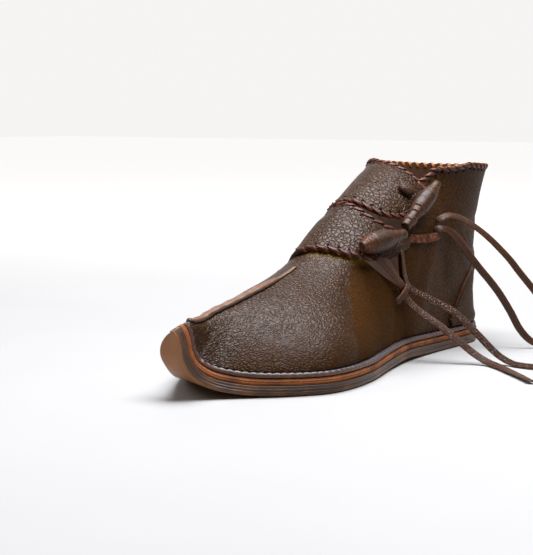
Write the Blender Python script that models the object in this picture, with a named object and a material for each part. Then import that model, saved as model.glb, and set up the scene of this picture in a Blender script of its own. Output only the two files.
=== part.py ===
"""Left ankle boot of a medieval pattern: turned-up toe, stitched-down leather sole, and two flaps
that cross the instep and close on the outer side over rolled leather toggles with thong loops.

Metres, +Z up. The boot stands on Z = 0 with its toe towards -X and its outer side towards -Y.
Tables and shapes are worked in the shoe's own axes: forward from the heel, outward, up.
"""

import math
from collections import Counter

import bmesh
import bpy
import numpy as np
from mathutils import Vector

for leftover in list(bpy.data.objects):
    bpy.data.objects.remove(leftover)

MM = 0.001

# Middle of the standing boot in the shoe's own axes, which becomes the origin
MIDDLE_FORWARD = 144.6 * MM
MIDDLE_OUTWARD = 6.0 * MM

# Leather thicknesses and fits
WALL = 2.2 * MM
GAP = 0.3 * MM
OUTSOLE_THICK = 6.0 * MM
MIDSOLE_THICK = 3.2 * MM
WELT_THICK = 2.2 * MM
INSOLE_THICK = 2.4 * MM
COUNTER_THICK = 1.6 * MM
COUNTER_GAP = 0.6 * MM
FLAP_RISE = WALL + 2 * GAP

# How far in from the sole's edge things stand
FEATHER_INSET = 4.0 * MM
WELT_BED_INSET = 7.4 * MM
WELT_INNER_INSET = 9.5 * MM
INSOLE_INSET = 8.0 * MM
INSOLE_ENDS = (1.7, 14.0)
TIP_EASE = 35.0 * MM

# Heights of the layers above the sole's underside, measured square to it
MIDSOLE_LOW = OUTSOLE_THICK + GAP
MIDSOLE_HIGH = MIDSOLE_LOW + MIDSOLE_THICK
WELT_LOW = MIDSOLE_HIGH + 1.9 * GAP
WELT_HIGH = WELT_LOW + WELT_THICK
UPPER_FOOT = WELT_HIGH + 2.1 * GAP

# The sole, a row per station from the heel to the turned-up tip: where its underside runs
# (forward, up), how far its edge stands out to the outer and the inner side, and how much higher
# the inner edge stands, because the toe is turned up askew; in millimetres
SOLE = MM * np.array([
    # forward, up, outer, inner, cant
    (0.0, 7.5, 1.0, 0.0, 0.0),
    (1.6, 6.2, 12.0, 10.0, 0.0),
    (6.5, 3.2, 23.0, 19.5, 0.0),
    (15.0, 0.8, 30.0, 26.0, 0.0),
    (28.0, 0.0, 33.6, 29.2, 0.0),
    (52.0, 0.0, 34.6, 30.0, 0.0),
    (85.0, 0.3, 35.2, 30.5, 0.0),
    (118.0, 1.4, 38.2, 31.5, 0.0),
    (152.0, 0.6, 45.5, 36.0, 0.0),
    (185.0, 0.0, 54.5, 42.0, 0.0),
    (212.0, 0.0, 58.0, 46.0, 0.0),
    (233.0, 0.0, 55.0, 45.5, 0.0),
    (252.0, 0.2, 42.5, 36.0, 2.8),
    (268.0, 1.2, 27.5, 25.8, 5.2),
    (282.0, 5.2, 14.8, 16.8, 5.8),
    (292.0, 12.8, 7.5, 12.3, 3.8),
    (297.0, 22.5, 4.4, 10.6, 0.6),
    (297.4, 32.0, 2.8, 9.6, 0.0),
    (295.4, 39.5, 0.6, 7.6, 0.0),
    (293.6, 43.5, -3.1, 3.9, 0.0),
])
TIP_STATION = len(SOLE) - 1

# The last, a row per section from the toe to the collar: the section's top on the middle line
# (forward, up, swing outward), the sole station of its two feet, and the handles of its curve:
# how far it climbs and leans out at the foot, how far it spreads and drops at the top, and whether
# it climbs straight up (slant 0) or towards its top (slant 1).
# A foot below zero means the section closes behind the heel, at (back_forward, back_up).
LAST_COLUMNS = ("top_forward", "top_up", "swing", "foot", "back_forward", "back_up",
                "climb", "lean", "spread", "drop", "slant")
LAST = (
    (281.0, 39.4, -3.5, 18.6, 0.0, 0.0, 2.0, 0.3, 2.2, 0.2, 1.0),
    (272.5, 40.4, -3.3, 17.2, 0.0, 0.0, 4.0, 0.5, 5.5, 0.4, 1.0),
    (261.0, 43.0, -2.8, 15.4, 0.0, 0.0, 8.0, 1.0, 9.0, 1.0, 1.0),
    (246.0, 46.2, -2.0, 13.7, 0.0, 0.0, 12.0, 1.5, 14.0, 1.5, 1.0),
    (229.0, 50.0, -1.2, 12.2, 0.0, 0.0, 15.0, 2.0, 19.0, 2.0, 1.0),
    (209.0, 54.7, -0.5, 10.6, 0.0, 0.0, 18.0, 2.5, 23.0, 2.5, 1.0),
    (190.0, 60.2, 0.0, 9.1, 0.0, 0.0, 22.0, 2.5, 25.0, 2.5, 1.0),
    (172.0, 68.4, 0.3, 8.0, 0.0, 0.0, 26.0, 2.5, 28.0, 2.5, 1.0),
    (154.0, 80.4, 0.8, 7.0, 0.0, 0.0, 32.0, 3.5, 31.0, 2.0, 1.0),
    (137.0, 91.6, 1.4, 6.0, 0.0, 0.0, 38.0, 5.0, 33.0, 1.5, 1.0),
    (121.5, 100.8, 2.0, 5.0, 0.0, 0.0, 43.0, 6.0, 36.0, 1.0, 1.0),
    (109.0, 107.6, 2.2, 4.0, 0.0, 0.0, 45.0, 7.5, 39.0, 0.5, 0.8),
    (101.0, 111.6, 2.2, 3.0, 0.0, 0.0, 43.0, 11.5, 40.5, 0.0, 0.7),
    (95.5, 114.3, 2.1, 2.0, 0.0, 0.0, 32.0, 20.5, 42.5, 0.0, 0.7),
    (91.5, 116.4, 1.9, 0.0, 0.0, 0.0, 15.0, 49.0, 41.0, 0.0, 0.0),
    (87.5, 118.2, 1.7, -1.0, 3.5, 52.0, 6.0, 44.5, 42.5, 0.0, 0.0),
    (83.5, 120.4, 2.2, -1.0, -2.5, 86.0, 2.0, 43.5, 44.0, 0.0, 0.0),
    (80.0, 121.8, 4.0, -1.0, -8.0, 119.5, 0.0, 48.5, 48.5, 0.0, 0.0),
)
SEAM_ROW = 14.0
COLLAR_ROW = len(LAST) - 1.0
# How far, in rows and shares, the sections are eased into each other round the heel
EASE_ROWS = 0.5
EASE_SPREAD = 1.8
EASE_EDGE = 0.2

# Cut lines of the upper, in rows of the last and shares across it (-1 inner foot, 0 middle, 1 outer)
FLAP_ROOT = -0.30
FLAP_RISEN = -0.12
FLAP_SPLIT = 9.44
THROAT_CORNER = (8.50, 0.67)
VAMP_EDGE = ((-1.0, 7.10), (-0.30, 7.10), (-0.10, 7.04), (0.05, 7.32), (0.20, 7.56),
             (0.35, 7.76), (0.46, 7.86), (0.56, 8.07), THROAT_CORNER[::-1], (1.0, 8.50))
QUARTER_EDGE = (THROAT_CORNER, (8.68, 0.62), (8.93, 0.53), (9.19, 0.47), (9.52, 0.42),
                (10.50, 0.33), (11.88, 0.26), (14.10, 0.19), (17.0, 0.17))
COLLAR_EDGE = ((-1.0, 17.0), (0.10, 14.0), (0.19, 14.1), (0.25, 15.8), (0.43, 16.6), (0.70, 17.0),
               (1.0, 17.0))
# Each flap, a row per place along it: share across the last, lower edge row, upper edge row
LOWER_FLAP = ((-0.30, 7.10, 9.44), (-0.12, 7.08, 9.38), (0.00, 7.14, 9.30), (0.10, 7.24, 9.16),
              (0.20, 7.36, 9.10), (0.30, 7.56, 9.26), (0.38, 7.82, 9.54), (0.44, 8.16, 9.60),
              (0.47, 8.50, 9.40))
UPPER_FLAP = ((-0.30, 9.44, 17.0), (-0.12, 9.48, 16.3), (0.00, 9.44, 15.0), (0.10, 9.36, 14.3),
              (0.18, 9.37, 13.8), (0.24, 9.50, 13.0), (0.29, 9.76, 12.2), (0.33, 10.20, 11.6))
# The heel counter's upper edge as seen from the side (forward, up), and how near the foot it starts
COUNTER_TOP = MM * np.array([(-6.0, 74.5), (0.0, 71.0), (8.0, 65.0), (20.0, 56.0), (32.0, 48.5),
                             (44.0, 39.5), (52.0, 28.0), (62.0, 13.0)])
COUNTER_FOOT = 0.985
COUNTER_ROWS = (9.95, 15.48)

# The raised seam along the vamp: rows it runs over and its section (outward, up)
SEAM_ROWS = (0.35, 6.2)
SEAM_SECTION = MM * np.array([(-2.7, 0.3), (-2.5, 1.5), (-1.3, 2.3), (0.0, 1.5), (1.3, 2.3),
                              (2.5, 1.5), (2.7, 0.3), (0.0, 0.3)])
SEAM_FADE = 0.45

# Rolled toggles: ends of each axis in the shoe's own axes, and each roll's outline (share along, radius)
TOGGLE_AXES = {
    "toggle_upper": ((82.0, 35.5, 107.9), (117.0, 33.0, 82.4)),
    "toggle_lower": ((159.6, 29.0, 73.6), (122.4, 36.2, 78.9)),
}
TOGGLE_ROLLS = {
    "toggle_upper": ((0.00, 2.5), (0.02, 3.0), (0.09, 3.4), (0.10, 4.0), (0.19, 4.5), (0.20, 5.0),
                     (0.40, 5.5), (0.65, 4.9), (0.66, 4.2), (0.78, 3.9), (0.79, 3.4), (0.90, 3.0),
                     (1.00, 2.4)),
    "toggle_lower": ((0.00, 2.4), (0.02, 3.1), (0.10, 3.4), (0.11, 4.3), (0.18, 4.6), (0.19, 5.3),
                     (0.29, 6.2), (0.44, 6.5), (0.56, 6.1), (0.57, 5.6), (0.80, 4.1), (0.81, 3.5),
                     (1.00, 2.6)),
}
TOGGLE_SIDES = 12

# Short straps laid on the upper: route of the middle (row, share across, height over the upper's outside),
# width and thickness, in millimetres
STRAPS = {
    "thong_bridge": (((8.68, 0.645, 1.1), (8.58, 0.655, 3.0), (8.42, 0.672, 4.8), (8.24, 0.695, 4.8),
                      (8.09, 0.720, 3.1), (8.00, 0.735, 1.1)), 4.6, 1.4),
    "flap_tongue": (((9.66, 0.425, 1.3), (9.95, 0.452, 1.5), (10.45, 0.480, 1.5), (11.00, 0.495, 1.4)),
                    5.2, 1.8),
    "folded_tab": (((11.14, 0.165, 4.8), (11.18, 0.200, 5.0), (11.22, 0.240, 4.8)), 6.4, 2.8),
}

# Thongs, as routes of the cord's middle in the shoe's own axes, millimetres
THONG_RADIUS = 1.7 * MM
THONGS = {
    "thong_strand_front": ((147.0, 31.5, 66.5), (140.0, 34.0, 60.5), (133.0, 35.8, 54.0),
                           (126.5, 36.6, 48.5)),
    "thong_strand_rear": ((123.5, 34.4, 68.4), (122.0, 34.9, 62.0), (121.0, 35.2, 55.0),
                          (120.8, 35.5, 51.0)),
    "thong_tail_lower_rear": ((115.1, 34.2, 45.4), (113.6, 38.4, 43.0), (110.2, 47.3, 38.7),
                              (105.9, 58.8, 32.7), (103.7, 64.6, 28.0), (101.6, 70.4, 22.4),
                              (99.4, 76.1, 16.5), (97.3, 81.9, 10.3), (95.6, 87.4, 5.4),
                              (95.0, 93.5, 2.4), (97.4, 101.0, 1.9), (98.0, 109.0, 1.9),
                              (96.0, 117.0, 1.9)),
    "thong_tail_lower_front": ((121.9, 35.4, 40.3), (120.4, 38.6, 37.2), (117.4, 44.5, 31.3),
                               (114.9, 50.1, 27.1), (112.4, 55.7, 23.0), (110.0, 61.3, 18.3),
                               (107.5, 66.9, 13.6), (105.0, 72.4, 8.6), (103.4, 78.0, 4.8),
                               (103.6, 84.0, 2.4), (109.6, 94.0, 1.9), (120.6, 107.0, 1.9),
                               (130.3, 118.2, 1.9), (142.0, 131.0, 1.9)),
    "thong_tail_upper_rear": ((75.2, 33.2, 86.5), (72.8, 36.4, 87.3), (69.2, 38.6, 87.6),
                              (64.0, 42.3, 85.4), (58.8, 46.5, 81.6), (53.5, 50.9, 77.0),
                              (48.2, 55.4, 71.4), (42.8, 59.9, 64.8), (37.4, 64.4, 57.6),
                              (32.0, 69.0, 49.0), (24.9, 74.9, 38.3), (18.0, 80.8, 27.0),
                              (12.0, 86.0, 16.5), (6.0, 91.5, 7.0), (0.0, 97.5, 2.2),
                              (-7.0, 104.0, 1.9)),
    "thong_tail_upper_front": ((77.5, 33.7, 80.4), (75.6, 36.6, 79.6), (71.2, 39.6, 77.0),
                               (65.9, 43.6, 70.2), (60.6, 47.9, 61.1), (55.3, 52.3, 52.6),
                               (50.0, 56.8, 44.7), (44.6, 61.3, 35.8), (39.1, 65.9, 24.8),
                               (33.6, 70.5, 12.6), (27.6, 76.0, 4.6), (21.5, 82.5, 2.1),
                               (16.0, 90.0, 1.9), (11.5, 98.0, 1.9)),
}

# Colours, as linear red, green and blue, and roughness
LEATHERS = {
    "grained_leather": ((0.058, 0.033, 0.022), 0.52),
    "sole_leather": ((0.040, 0.022, 0.014), 0.55),
    "raw_edge_leather": ((0.330, 0.125, 0.036), 0.75),
    "welt_leather": ((0.060, 0.058, 0.066), 0.50),
    "insole_leather": ((0.260, 0.150, 0.080), 0.80),
    "thong_leather": ((0.045, 0.022, 0.015), 0.50),
}


def leather(name):
    """The named leather as a material, made the first time it is asked for."""
    if name in bpy.data.materials:
        return bpy.data.materials[name]
    colour, roughness = LEATHERS[name]
    material = bpy.data.materials.new(name)
    material.use_nodes = True
    shader = material.node_tree.nodes["Principled BSDF"]
    shader.inputs["Base Color"].default_value = (*colour, 1.0)
    shader.inputs["Roughness"].default_value = roughness
    shader.inputs["Metallic"].default_value = 0.0
    return material


def placed(points):
    """Points from the shoe's own axes to the part's frame, turned half round about Z."""
    points = np.asarray(points, float)
    middle = np.array([MIDDLE_FORWARD, MIDDLE_OUTWARD, 0.0])
    return (middle - points) * np.array([1.0, 1.0, -1.0])


def add_solid(name, points, faces, leather_name):
    """A named object from points in the shoe's own axes, with its faces turned outwards."""
    used = sorted({index for face in faces for index in face})
    renumber = {old: new for new, old in enumerate(used)}
    mesh = bpy.data.meshes.new(name)
    corners = placed(np.asarray(points)[used]).tolist()
    mesh.from_pydata(corners, [], [[renumber[index] for index in face] for face in faces])
    shape = bmesh.new()
    shape.from_mesh(mesh)
    bmesh.ops.recalc_face_normals(shape, faces=shape.faces)
    shape.to_mesh(mesh)
    shape.free()
    mesh.materials.append(leather(leather_name))
    solid = bpy.data.objects.new(name, mesh)
    bpy.context.scene.collection.objects.link(solid)
    return solid


def blend(table, at):
    """Rows of a table at fractional row numbers, along a smooth curve through its rows."""
    at = np.atleast_1d(np.asarray(at, float))
    last = len(table) - 1
    row = np.clip(np.floor(at).astype(int), 0, last - 1)
    share = (at - row)[:, None]
    start, end = table[row], table[row + 1]
    before, after = table[np.maximum(row - 1, 0)], table[np.minimum(row + 2, last)]
    slope_start = np.where((row > 0)[:, None], (end - before) / 2, end - start)
    slope_end = np.where((row + 2 <= last)[:, None], (after - start) / 2, end - start)
    return ((2 * share**3 - 3 * share**2 + 1) * start + (share**3 - 2 * share**2 + share) * slope_start
            + (3 * share**2 - 2 * share**3) * end + (share**3 - share**2) * slope_end)


def read(pairs, at):
    """Second value of a list of pairs at a given first value, straight between the pairs."""
    first, second = zip(*pairs)
    return np.interp(at, first, second)


# The sole's own line, finely read, for measuring along it
FINE = np.linspace(0, TIP_STATION, 1201)
SOLE_LINE = np.maximum(blend(SOLE, FINE), np.where(np.arange(5) == 2, -1.0, 0.0)).T
LINE_FORWARD, LINE_UP, LINE_OUTER, LINE_INNER, LINE_CANT = SOLE_LINE
ALONG = np.concatenate([[0.0], np.cumsum(np.hypot(np.diff(LINE_FORWARD), np.diff(LINE_UP)))])


def sole_edge(station, side, inset=0.0, lift=0.0):
    """Points on the sole's rim at the stations, moved in from the edge and up square to the sole."""
    width = LINE_OUTER if side > 0 else LINE_INNER
    run, widening = np.gradient(ALONG), np.gradient(width)
    slant = np.hypot(run, widening)
    eased = inset * np.clip((ALONG[-1] - ALONG) / TIP_EASE, 0.0, 1.0)
    along = ALONG + eased * widening / slant
    outward = side * (width - eased * run / slant)
    line = (*SOLE_LINE, np.gradient(LINE_FORWARD), np.gradient(LINE_UP), np.gradient(LINE_CANT))
    line = [np.interp(along, ALONG, values) for values in line]
    forward, up, outer, inner, cant, ahead, climb, canting = line
    share = (outer - outward) / (outer + inner)
    climb = climb + share * canting
    steep = np.hypot(ahead, climb)
    rim = (forward - climb / steep * lift, outward, up + share * cant + ahead / steep * lift)
    return np.stack([np.interp(np.atleast_1d(station), FINE, values) for values in rim], axis=-1)


def section_rows():
    """The last's table in metres: top, back of the heel, the curve's handles, sole station and slant."""
    heel = sum(sole_edge(0.0, side, FEATHER_INSET, UPPER_FOOT)[0] for side in (1, -1)) / 2
    rows = []
    for values in LAST:
        row = dict(zip(LAST_COLUMNS, values))
        top = MM * np.array([row["top_forward"], row["swing"], row["top_up"]])
        behind = MM * np.array([row["back_forward"], row["swing"], row["back_up"]])
        handles = MM * np.array([row["climb"], row["lean"], row["spread"], row["drop"]])
        behind = heel if row["foot"] >= 0 else behind
        rows.append(np.concatenate([top, behind, handles, [row["foot"], row["slant"]]]))
    return np.array(rows)


SECTIONS = section_rows()


def last_foot(row, side, lift=UPPER_FOOT):
    """Where sections meet the sole on one side, or close behind the heel above the seam's foot."""
    values = blend(SECTIONS, row)
    station = np.clip(values[:, 10], 0.0, TIP_STATION)
    on_sole = sole_edge(station, side, FEATHER_INSET, lift)
    return np.where((np.asarray(row) < SEAM_ROW - 1e-6)[:, None], on_sole, values[:, 3:6])


def section_surface(row, across):
    """Points on the sections' curves at rows of the last and shares across it."""
    row, across = np.broadcast_arrays(np.asarray(row, float), np.asarray(across, float))
    shape, row, across = row.shape, row.reshape(-1), across.reshape(-1, 1)
    values = blend(SECTIONS, row)
    top = values[:, 0:3]
    outer, inner = last_foot(row, 1), last_foot(row, -1)
    climb, lean, spread, drop = (values[:, k:k + 1] for k in range(6, 10))
    side = np.where(across >= 0, 1.0, -1.0)
    foot = np.where(side > 0, outer, inner)
    rise = (top - (outer + inner) / 2) * np.array([1.0, 0.0, 1.0])
    rise /= np.linalg.norm(rise, axis=1)[:, None]
    climbing = rise * values[:, 11:12] + np.array([0.0, 0.0, 1.0]) * (1.0 - values[:, 11:12])
    sideways = side * np.array([0.0, 1.0, 0.0])
    low, high = foot + climbing * climb + sideways * lean, top - rise * drop + sideways * spread
    share = 1.0 - np.abs(across)
    rest = 1.0 - share
    points = rest**3 * foot + 3 * rest**2 * share * low + 3 * rest * share**2 * high + share**3 * top
    return points.reshape(*shape, 3)


def last_surface(row, across):
    """Outside of the upper at rows of the last and shares across it, eased where the heel turns up."""
    row, across = np.broadcast_arrays(np.asarray(row, float), np.asarray(across, float))
    reach = EASE_ROWS * np.exp(-((row - SEAM_ROW) / EASE_SPREAD) ** 2)
    reach = reach * np.clip((1.0 - np.abs(across)) / EASE_EDGE, 0.0, 1.0)
    weights = (1, 6, 15, 20, 15, 6, 1)
    points = 0.0
    for step, weight in zip(range(-3, 4), weights):
        near = np.clip(row + reach * step, 0.0, COLLAR_ROW)
        points = points + section_surface(near, across) * weight / sum(weights)
    return points


def sole_square(row, side):
    """Directions square to the sole where the sections stand on it."""
    station = np.clip(blend(SECTIONS, row)[:, 10], 0.0, TIP_STATION)
    up = (sole_edge(station, side, FEATHER_INSET, MM) - sole_edge(station, side, FEATHER_INSET, 0.0))
    return up / np.linalg.norm(up, axis=1, keepdims=True)


def last_normal(row, across):
    """Directions square to the last's surface and out of the boot, level with the sole along its foot."""
    row, across = np.broadcast_arrays(np.asarray(row, float), np.asarray(across, float))
    step = 0.01
    low, high = np.maximum(row - step, 0.0), np.minimum(row + step, COLLAR_ROW)
    near, far = np.maximum(across - step, -1.0), np.minimum(across + step, 1.0)
    lengthwise = last_surface(high, across) - last_surface(low, across)
    crosswise = last_surface(row, far) - last_surface(row, near)
    normal = np.cross(crosswise, lengthwise)
    for side in (1, -1):
        at_foot = (across * side > 0.999) & (row <= SEAM_ROW)
        if at_foot.any():
            square, tilted = sole_square(row[at_foot], side), normal[at_foot]
            normal[at_foot] = tilted - square * np.sum(tilted * square, axis=1, keepdims=True)
    return normal / np.linalg.norm(normal, axis=-1, keepdims=True)


def lifted(row, across, height):
    """Points at a height above the upper's outside."""
    return last_surface(row, across) + last_normal(row, across) * np.asarray(height, float)[..., None]


def wall_at(row):
    """Thickness of the upper's wall, thinned where the toe runs out to its tip."""
    return WALL * np.clip(0.35 + 0.4 * np.asarray(row, float), 0.35, 1.0)


def shell_faces(quads, count):
    """Faces of a closed wall: the quads, the same quads on the far side, and a rim round their edge."""
    edges = Counter(edge for quad in quads for edge in zip(quad, quad[1:] + quad[:1]))
    faces = [list(quad) for quad in quads]
    faces += [[count + index for index in reversed(quad)] for quad in quads]
    faces += [[b, a, count + a, count + b] for a, b in edges if (b, a) not in edges]
    return faces


def grid_quads(index, keep=None):
    """Quads between neighbouring entries of a grid of point numbers."""
    quads = []
    for i in range(index.shape[0] - 1):
        for j in range(index.shape[1] - 1):
            if keep is None or keep[i, j]:
                quads.append([int(index[i, j]), int(index[i, j + 1]),
                              int(index[i + 1, j + 1]), int(index[i + 1, j])])
    return quads


# Stations of the sole's rim, closest where the toe twists as it turns up
TOE_STATIONS = (11.0, 11.3, 11.55, 11.8, 12.05, 12.3, 12.6, 12.95, 13.4, 14.0, 14.5, 14.9, 15.2, 15.5, 15.8,
                16.3, 17.1, 18.0, TIP_STATION)
SOLE_STATIONS = np.concatenate([np.linspace(0, 4, 10), np.linspace(4.7, 10.6, 9), TOE_STATIONS])
OPENING_STATIONS = np.where(SOLE_STATIONS < 12, SOLE_STATIONS, 12 + (SOLE_STATIONS - 12) * 0.8)


def sole_loop(inset, lift, stations=SOLE_STATIONS):
    """A closed loop round the sole: along its outer edge to the tip and back along its inner edge."""
    outer = sole_edge(stations, 1, inset, lift)
    inner = sole_edge(stations, -1, inset, lift)
    return np.concatenate([outer, inner[::-1]])


def add_plate(name, rim, leather_name):
    """A full layer of the sole. Its rim runs from the underside to the top as (inset, lift)."""
    loops = [sole_loop(inset, lift) for inset, lift in rim]
    size = len(loops[0])
    faces = []
    for level in range(len(loops) - 1):
        for k in range(size):
            following = (k + 1) % size
            faces.append([level * size + k, level * size + following,
                          (level + 1) * size + following, (level + 1) * size + k])
    for base in (0, (len(loops) - 1) * size):
        for k in range(size // 2 - 1):
            faces.append([base + k, base + k + 1, base + size - 2 - k, base + size - 1 - k])
    return add_solid(name, np.concatenate(loops), faces, leather_name)


def add_outsole():
    """Thick outer sole: rounded under its edge, with the shallow groove of its layered side."""
    rim = [(3.2, 0.0), (1.2, 0.5), (0.2, 1.8), (0.0, 2.8), (0.5, 3.1), (0.5, 3.4), (0.0, 3.7), (0.3, 6.0)]
    add_plate("outsole", MM * np.array(rim), "sole_leather")


def add_midsole():
    """Thin middle sole whose raw edge shows as a pale line."""
    rim = [(0.9 * MM, MIDSOLE_LOW), (0.3 * MM, MIDSOLE_LOW + 0.4 * MM),
           (0.3 * MM, MIDSOLE_HIGH - 0.4 * MM), (0.8 * MM, MIDSOLE_HIGH)]
    add_plate("midsole", rim, "raw_edge_leather")


def add_welt():
    """Flat strip round the sole's edge that carries the upper, open in the middle."""
    loops = [sole_loop(0.9 * MM, WELT_LOW), sole_loop(0.4 * MM, WELT_LOW + 0.5 * MM),
             sole_loop(0.4 * MM, WELT_HIGH - 0.5 * MM), sole_loop(0.9 * MM, WELT_HIGH),
             sole_loop(WELT_BED_INSET, WELT_HIGH), sole_loop(WELT_INNER_INSET, WELT_HIGH, OPENING_STATIONS),
             sole_loop(WELT_INNER_INSET, WELT_LOW, OPENING_STATIONS)]
    size = len(loops[0])
    faces = []
    for level in range(len(loops)):
        above = (level + 1) % len(loops)
        for k in range(size):
            following = (k + 1) % size
            faces.append([level * size + k, level * size + following,
                          above * size + following, above * size + k])
    add_solid("welt", np.concatenate(loops), faces, "welt_leather")


def add_insole():
    """Inner sole: a thick middle that fills the welt's opening under a wider top sheet."""
    stations = OPENING_STATIONS[(OPENING_STATIONS > INSOLE_ENDS[0]) & (OPENING_STATIONS < INSOLE_ENDS[1])]
    rim = [(WELT_INNER_INSET + GAP, WELT_LOW), (WELT_INNER_INSET + GAP, UPPER_FOOT),
           (INSOLE_INSET, UPPER_FOOT), (INSOLE_INSET, UPPER_FOOT + INSOLE_THICK)]
    loops = [sole_loop(inset, lift, stations) for inset, lift in rim]
    size = len(loops[0])
    faces = []
    for level in range(len(loops) - 1):
        for k in range(size):
            following = (k + 1) % size
            faces.append([level * size + k, level * size + following,
                          (level + 1) * size + following, (level + 1) * size + k])
    for base in (0, (len(loops) - 1) * size):
        for k in range(size // 2 - 1):
            faces.append([base + k, base + k + 1, base + size - 2 - k, base + size - 1 - k])
    add_solid("insole", np.concatenate(loops), faces, "insole_leather")


def upper_grid():
    """Rows and shares of the upper's wall, with the columns and rows that lie on its cut lines."""
    inner_columns, throat_columns, outer_columns = 10, 10, 7
    vamp_rows, band_rows, lower_rows, upper_rows = 16, 5, 11, 8
    low = THROAT_CORNER[1]
    seam_share = (SEAM_ROW - FLAP_SPLIT) / (COLLAR_ROW - FLAP_SPLIT)
    upward = np.concatenate([np.linspace(0, seam_share, lower_rows + 1),
                             np.linspace(seam_share, 1, upper_rows + 1)[1:]])
    cut_top = read(COLLAR_EDGE, QUARTER_EDGE[-2][1])
    cut_rows = np.concatenate([np.linspace(0, THROAT_CORNER[0], vamp_rows + 1),
                               np.linspace(THROAT_CORNER[0], FLAP_SPLIT, band_rows + 1)[1:],
                               FLAP_SPLIT + (cut_top - FLAP_SPLIT) * upward[1:]])
    cut_share = np.where(cut_rows > THROAT_CORNER[0], read(QUARTER_EDGE, cut_rows), low)
    rows, shares = [], []
    for j in range(inner_columns + throat_columns + outer_columns + 1):
        if j <= inner_columns:
            share = np.full(len(cut_rows), -1 + (FLAP_ROOT + 1) * j / inner_columns)
        elif j <= inner_columns + throat_columns:
            part = (j - inner_columns) / throat_columns
            share = FLAP_ROOT + (np.where(cut_rows > THROAT_CORNER[0], low, cut_share) - FLAP_ROOT) * part
        else:
            part = (j - inner_columns - throat_columns) / outer_columns
            share = cut_share + (1 - cut_share) * part
        if j == inner_columns + throat_columns:
            share = cut_share
        edge = read(VAMP_EDGE, share[0])
        top = COLLAR_ROW if share[-1] <= FLAP_ROOT + 1e-9 else read(COLLAR_EDGE, share[-1])
        rows.append(np.concatenate([np.linspace(0, edge, vamp_rows + 1),
                                    np.linspace(edge, FLAP_SPLIT, band_rows + 1)[1:],
                                    FLAP_SPLIT + (top - FLAP_SPLIT) * upward[1:]]))
        shares.append(share)
    keep = np.ones((len(cut_rows) - 1, len(rows) - 1), bool)
    keep[vamp_rows:, inner_columns:inner_columns + throat_columns] = False
    seam_start = vamp_rows + band_rows + lower_rows
    return np.array(rows).T, np.array(shares).T, keep, seam_start, inner_columns, vamp_rows, band_rows


def flap_points(flap, columns, cells):
    """Rows, shares and heights of a flap, from its root to its free end, across its width."""
    flap = np.array(flap)
    place = np.linspace(0, len(flap) - 1, columns + 1)
    share, low, high = blend(flap, place).T
    across = np.linspace(0, 1, cells + 1)
    rows = low[None, :] + (high - low)[None, :] * across[:, None]
    ramp = np.clip((share - FLAP_ROOT) / (FLAP_RISEN - FLAP_ROOT), 0, 1)
    height = FLAP_RISE * ramp**2 * (3 - 2 * ramp)
    return rows, np.broadcast_to(share, rows.shape), np.broadcast_to(height, rows.shape)


def add_upper():
    """Vamp, quarters and the two flaps as one hollow wall, open at the collar, throat and sole."""
    rows, shares, keep, seam_start, root, vamp_rows, band_rows = upper_grid()
    outer, normal = last_surface(rows, shares), last_normal(rows, shares)
    index = np.arange(rows.size).reshape(rows.shape)
    index[seam_start:, -1] = index[seam_start:, 0]
    quads = grid_quads(index, keep)
    inner = outer - normal * wall_at(rows)[..., None]
    outside, inside = [outer.reshape(-1, 3)], [inner.reshape(-1, 3)]
    count = rows.size
    lower_start, split = vamp_rows, vamp_rows + band_rows
    flaps = ((LOWER_FLAP, 12, lower_start, split), (UPPER_FLAP, 11, split, rows.shape[0] - 1))
    for flap, columns, first, final in flaps:
        flap_rows, flap_shares, heights = flap_points(flap, columns, final - first)
        flap_rows[:, 0] = rows[first:final + 1, root]
        numbers = count + np.arange(flap_rows.size).reshape(flap_rows.shape)
        numbers[:, 0] = index[first:final + 1, root]
        outside.append(lifted(flap_rows, flap_shares, heights).reshape(-1, 3))
        inside.append(lifted(flap_rows, flap_shares, heights - WALL).reshape(-1, 3))
        quads += grid_quads(numbers)
        count += flap_rows.size
    points = np.concatenate([np.concatenate(outside), np.concatenate(inside)])
    add_solid("upper", points, shell_faces(quads, count), "grained_leather")


def counter_edge(row, side):
    """Share across the last at which a section passes the counter's upper edge."""
    shares = np.linspace(COUNTER_FOOT, 0.3, 138)
    points = last_surface(np.full(shares.shape, row), side * shares)
    above = points[:, 2] - np.interp(points[:, 0], COUNTER_TOP[:, 0], COUNTER_TOP[:, 1])
    return max(np.interp(0.0, above[:np.argmax(above > 0) + 1], shares[:np.argmax(above > 0) + 1]), 0.3)


def add_heel_counter():
    """Three-cornered stiffener lapped over the back of the heel."""
    cells, heel_rows, back_rows = 7, 14, 11
    rows = np.concatenate([np.linspace(COUNTER_ROWS[0], SEAM_ROW, heel_rows),
                           np.linspace(SEAM_ROW, COUNTER_ROWS[1], back_rows)[1:]])
    seam_start = heel_rows - 1
    foot = np.where(rows < SEAM_ROW, COUNTER_FOOT, 1.0)
    outward = np.linspace(0, 1, cells + 1)[None, :]
    grid = np.broadcast_to(rows[:, None], (len(rows), cells + 1))
    outside, inside = [], []
    for side in (1, -1):
        edge = np.array([counter_edge(row, side) for row in rows])
        share = edge[:, None] + (foot - edge)[:, None] * outward
        outside.append(lifted(grid, side * share, np.full(share.shape, COUNTER_GAP + COUNTER_THICK)))
        inside.append(lifted(grid, side * share, np.full(share.shape, COUNTER_GAP)))
    outer_index = np.arange(share.size).reshape(share.shape)
    inner_index = share.size + outer_index
    inner_index[seam_start:, -1] = outer_index[seam_start:, -1]
    quads = grid_quads(outer_index) + [quad[::-1] for quad in grid_quads(inner_index)]
    points = np.concatenate([side.reshape(-1, 3) for side in outside + inside])
    add_solid("heel_counter", points, shell_faces(quads, 2 * share.size), "grained_leather")


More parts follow.
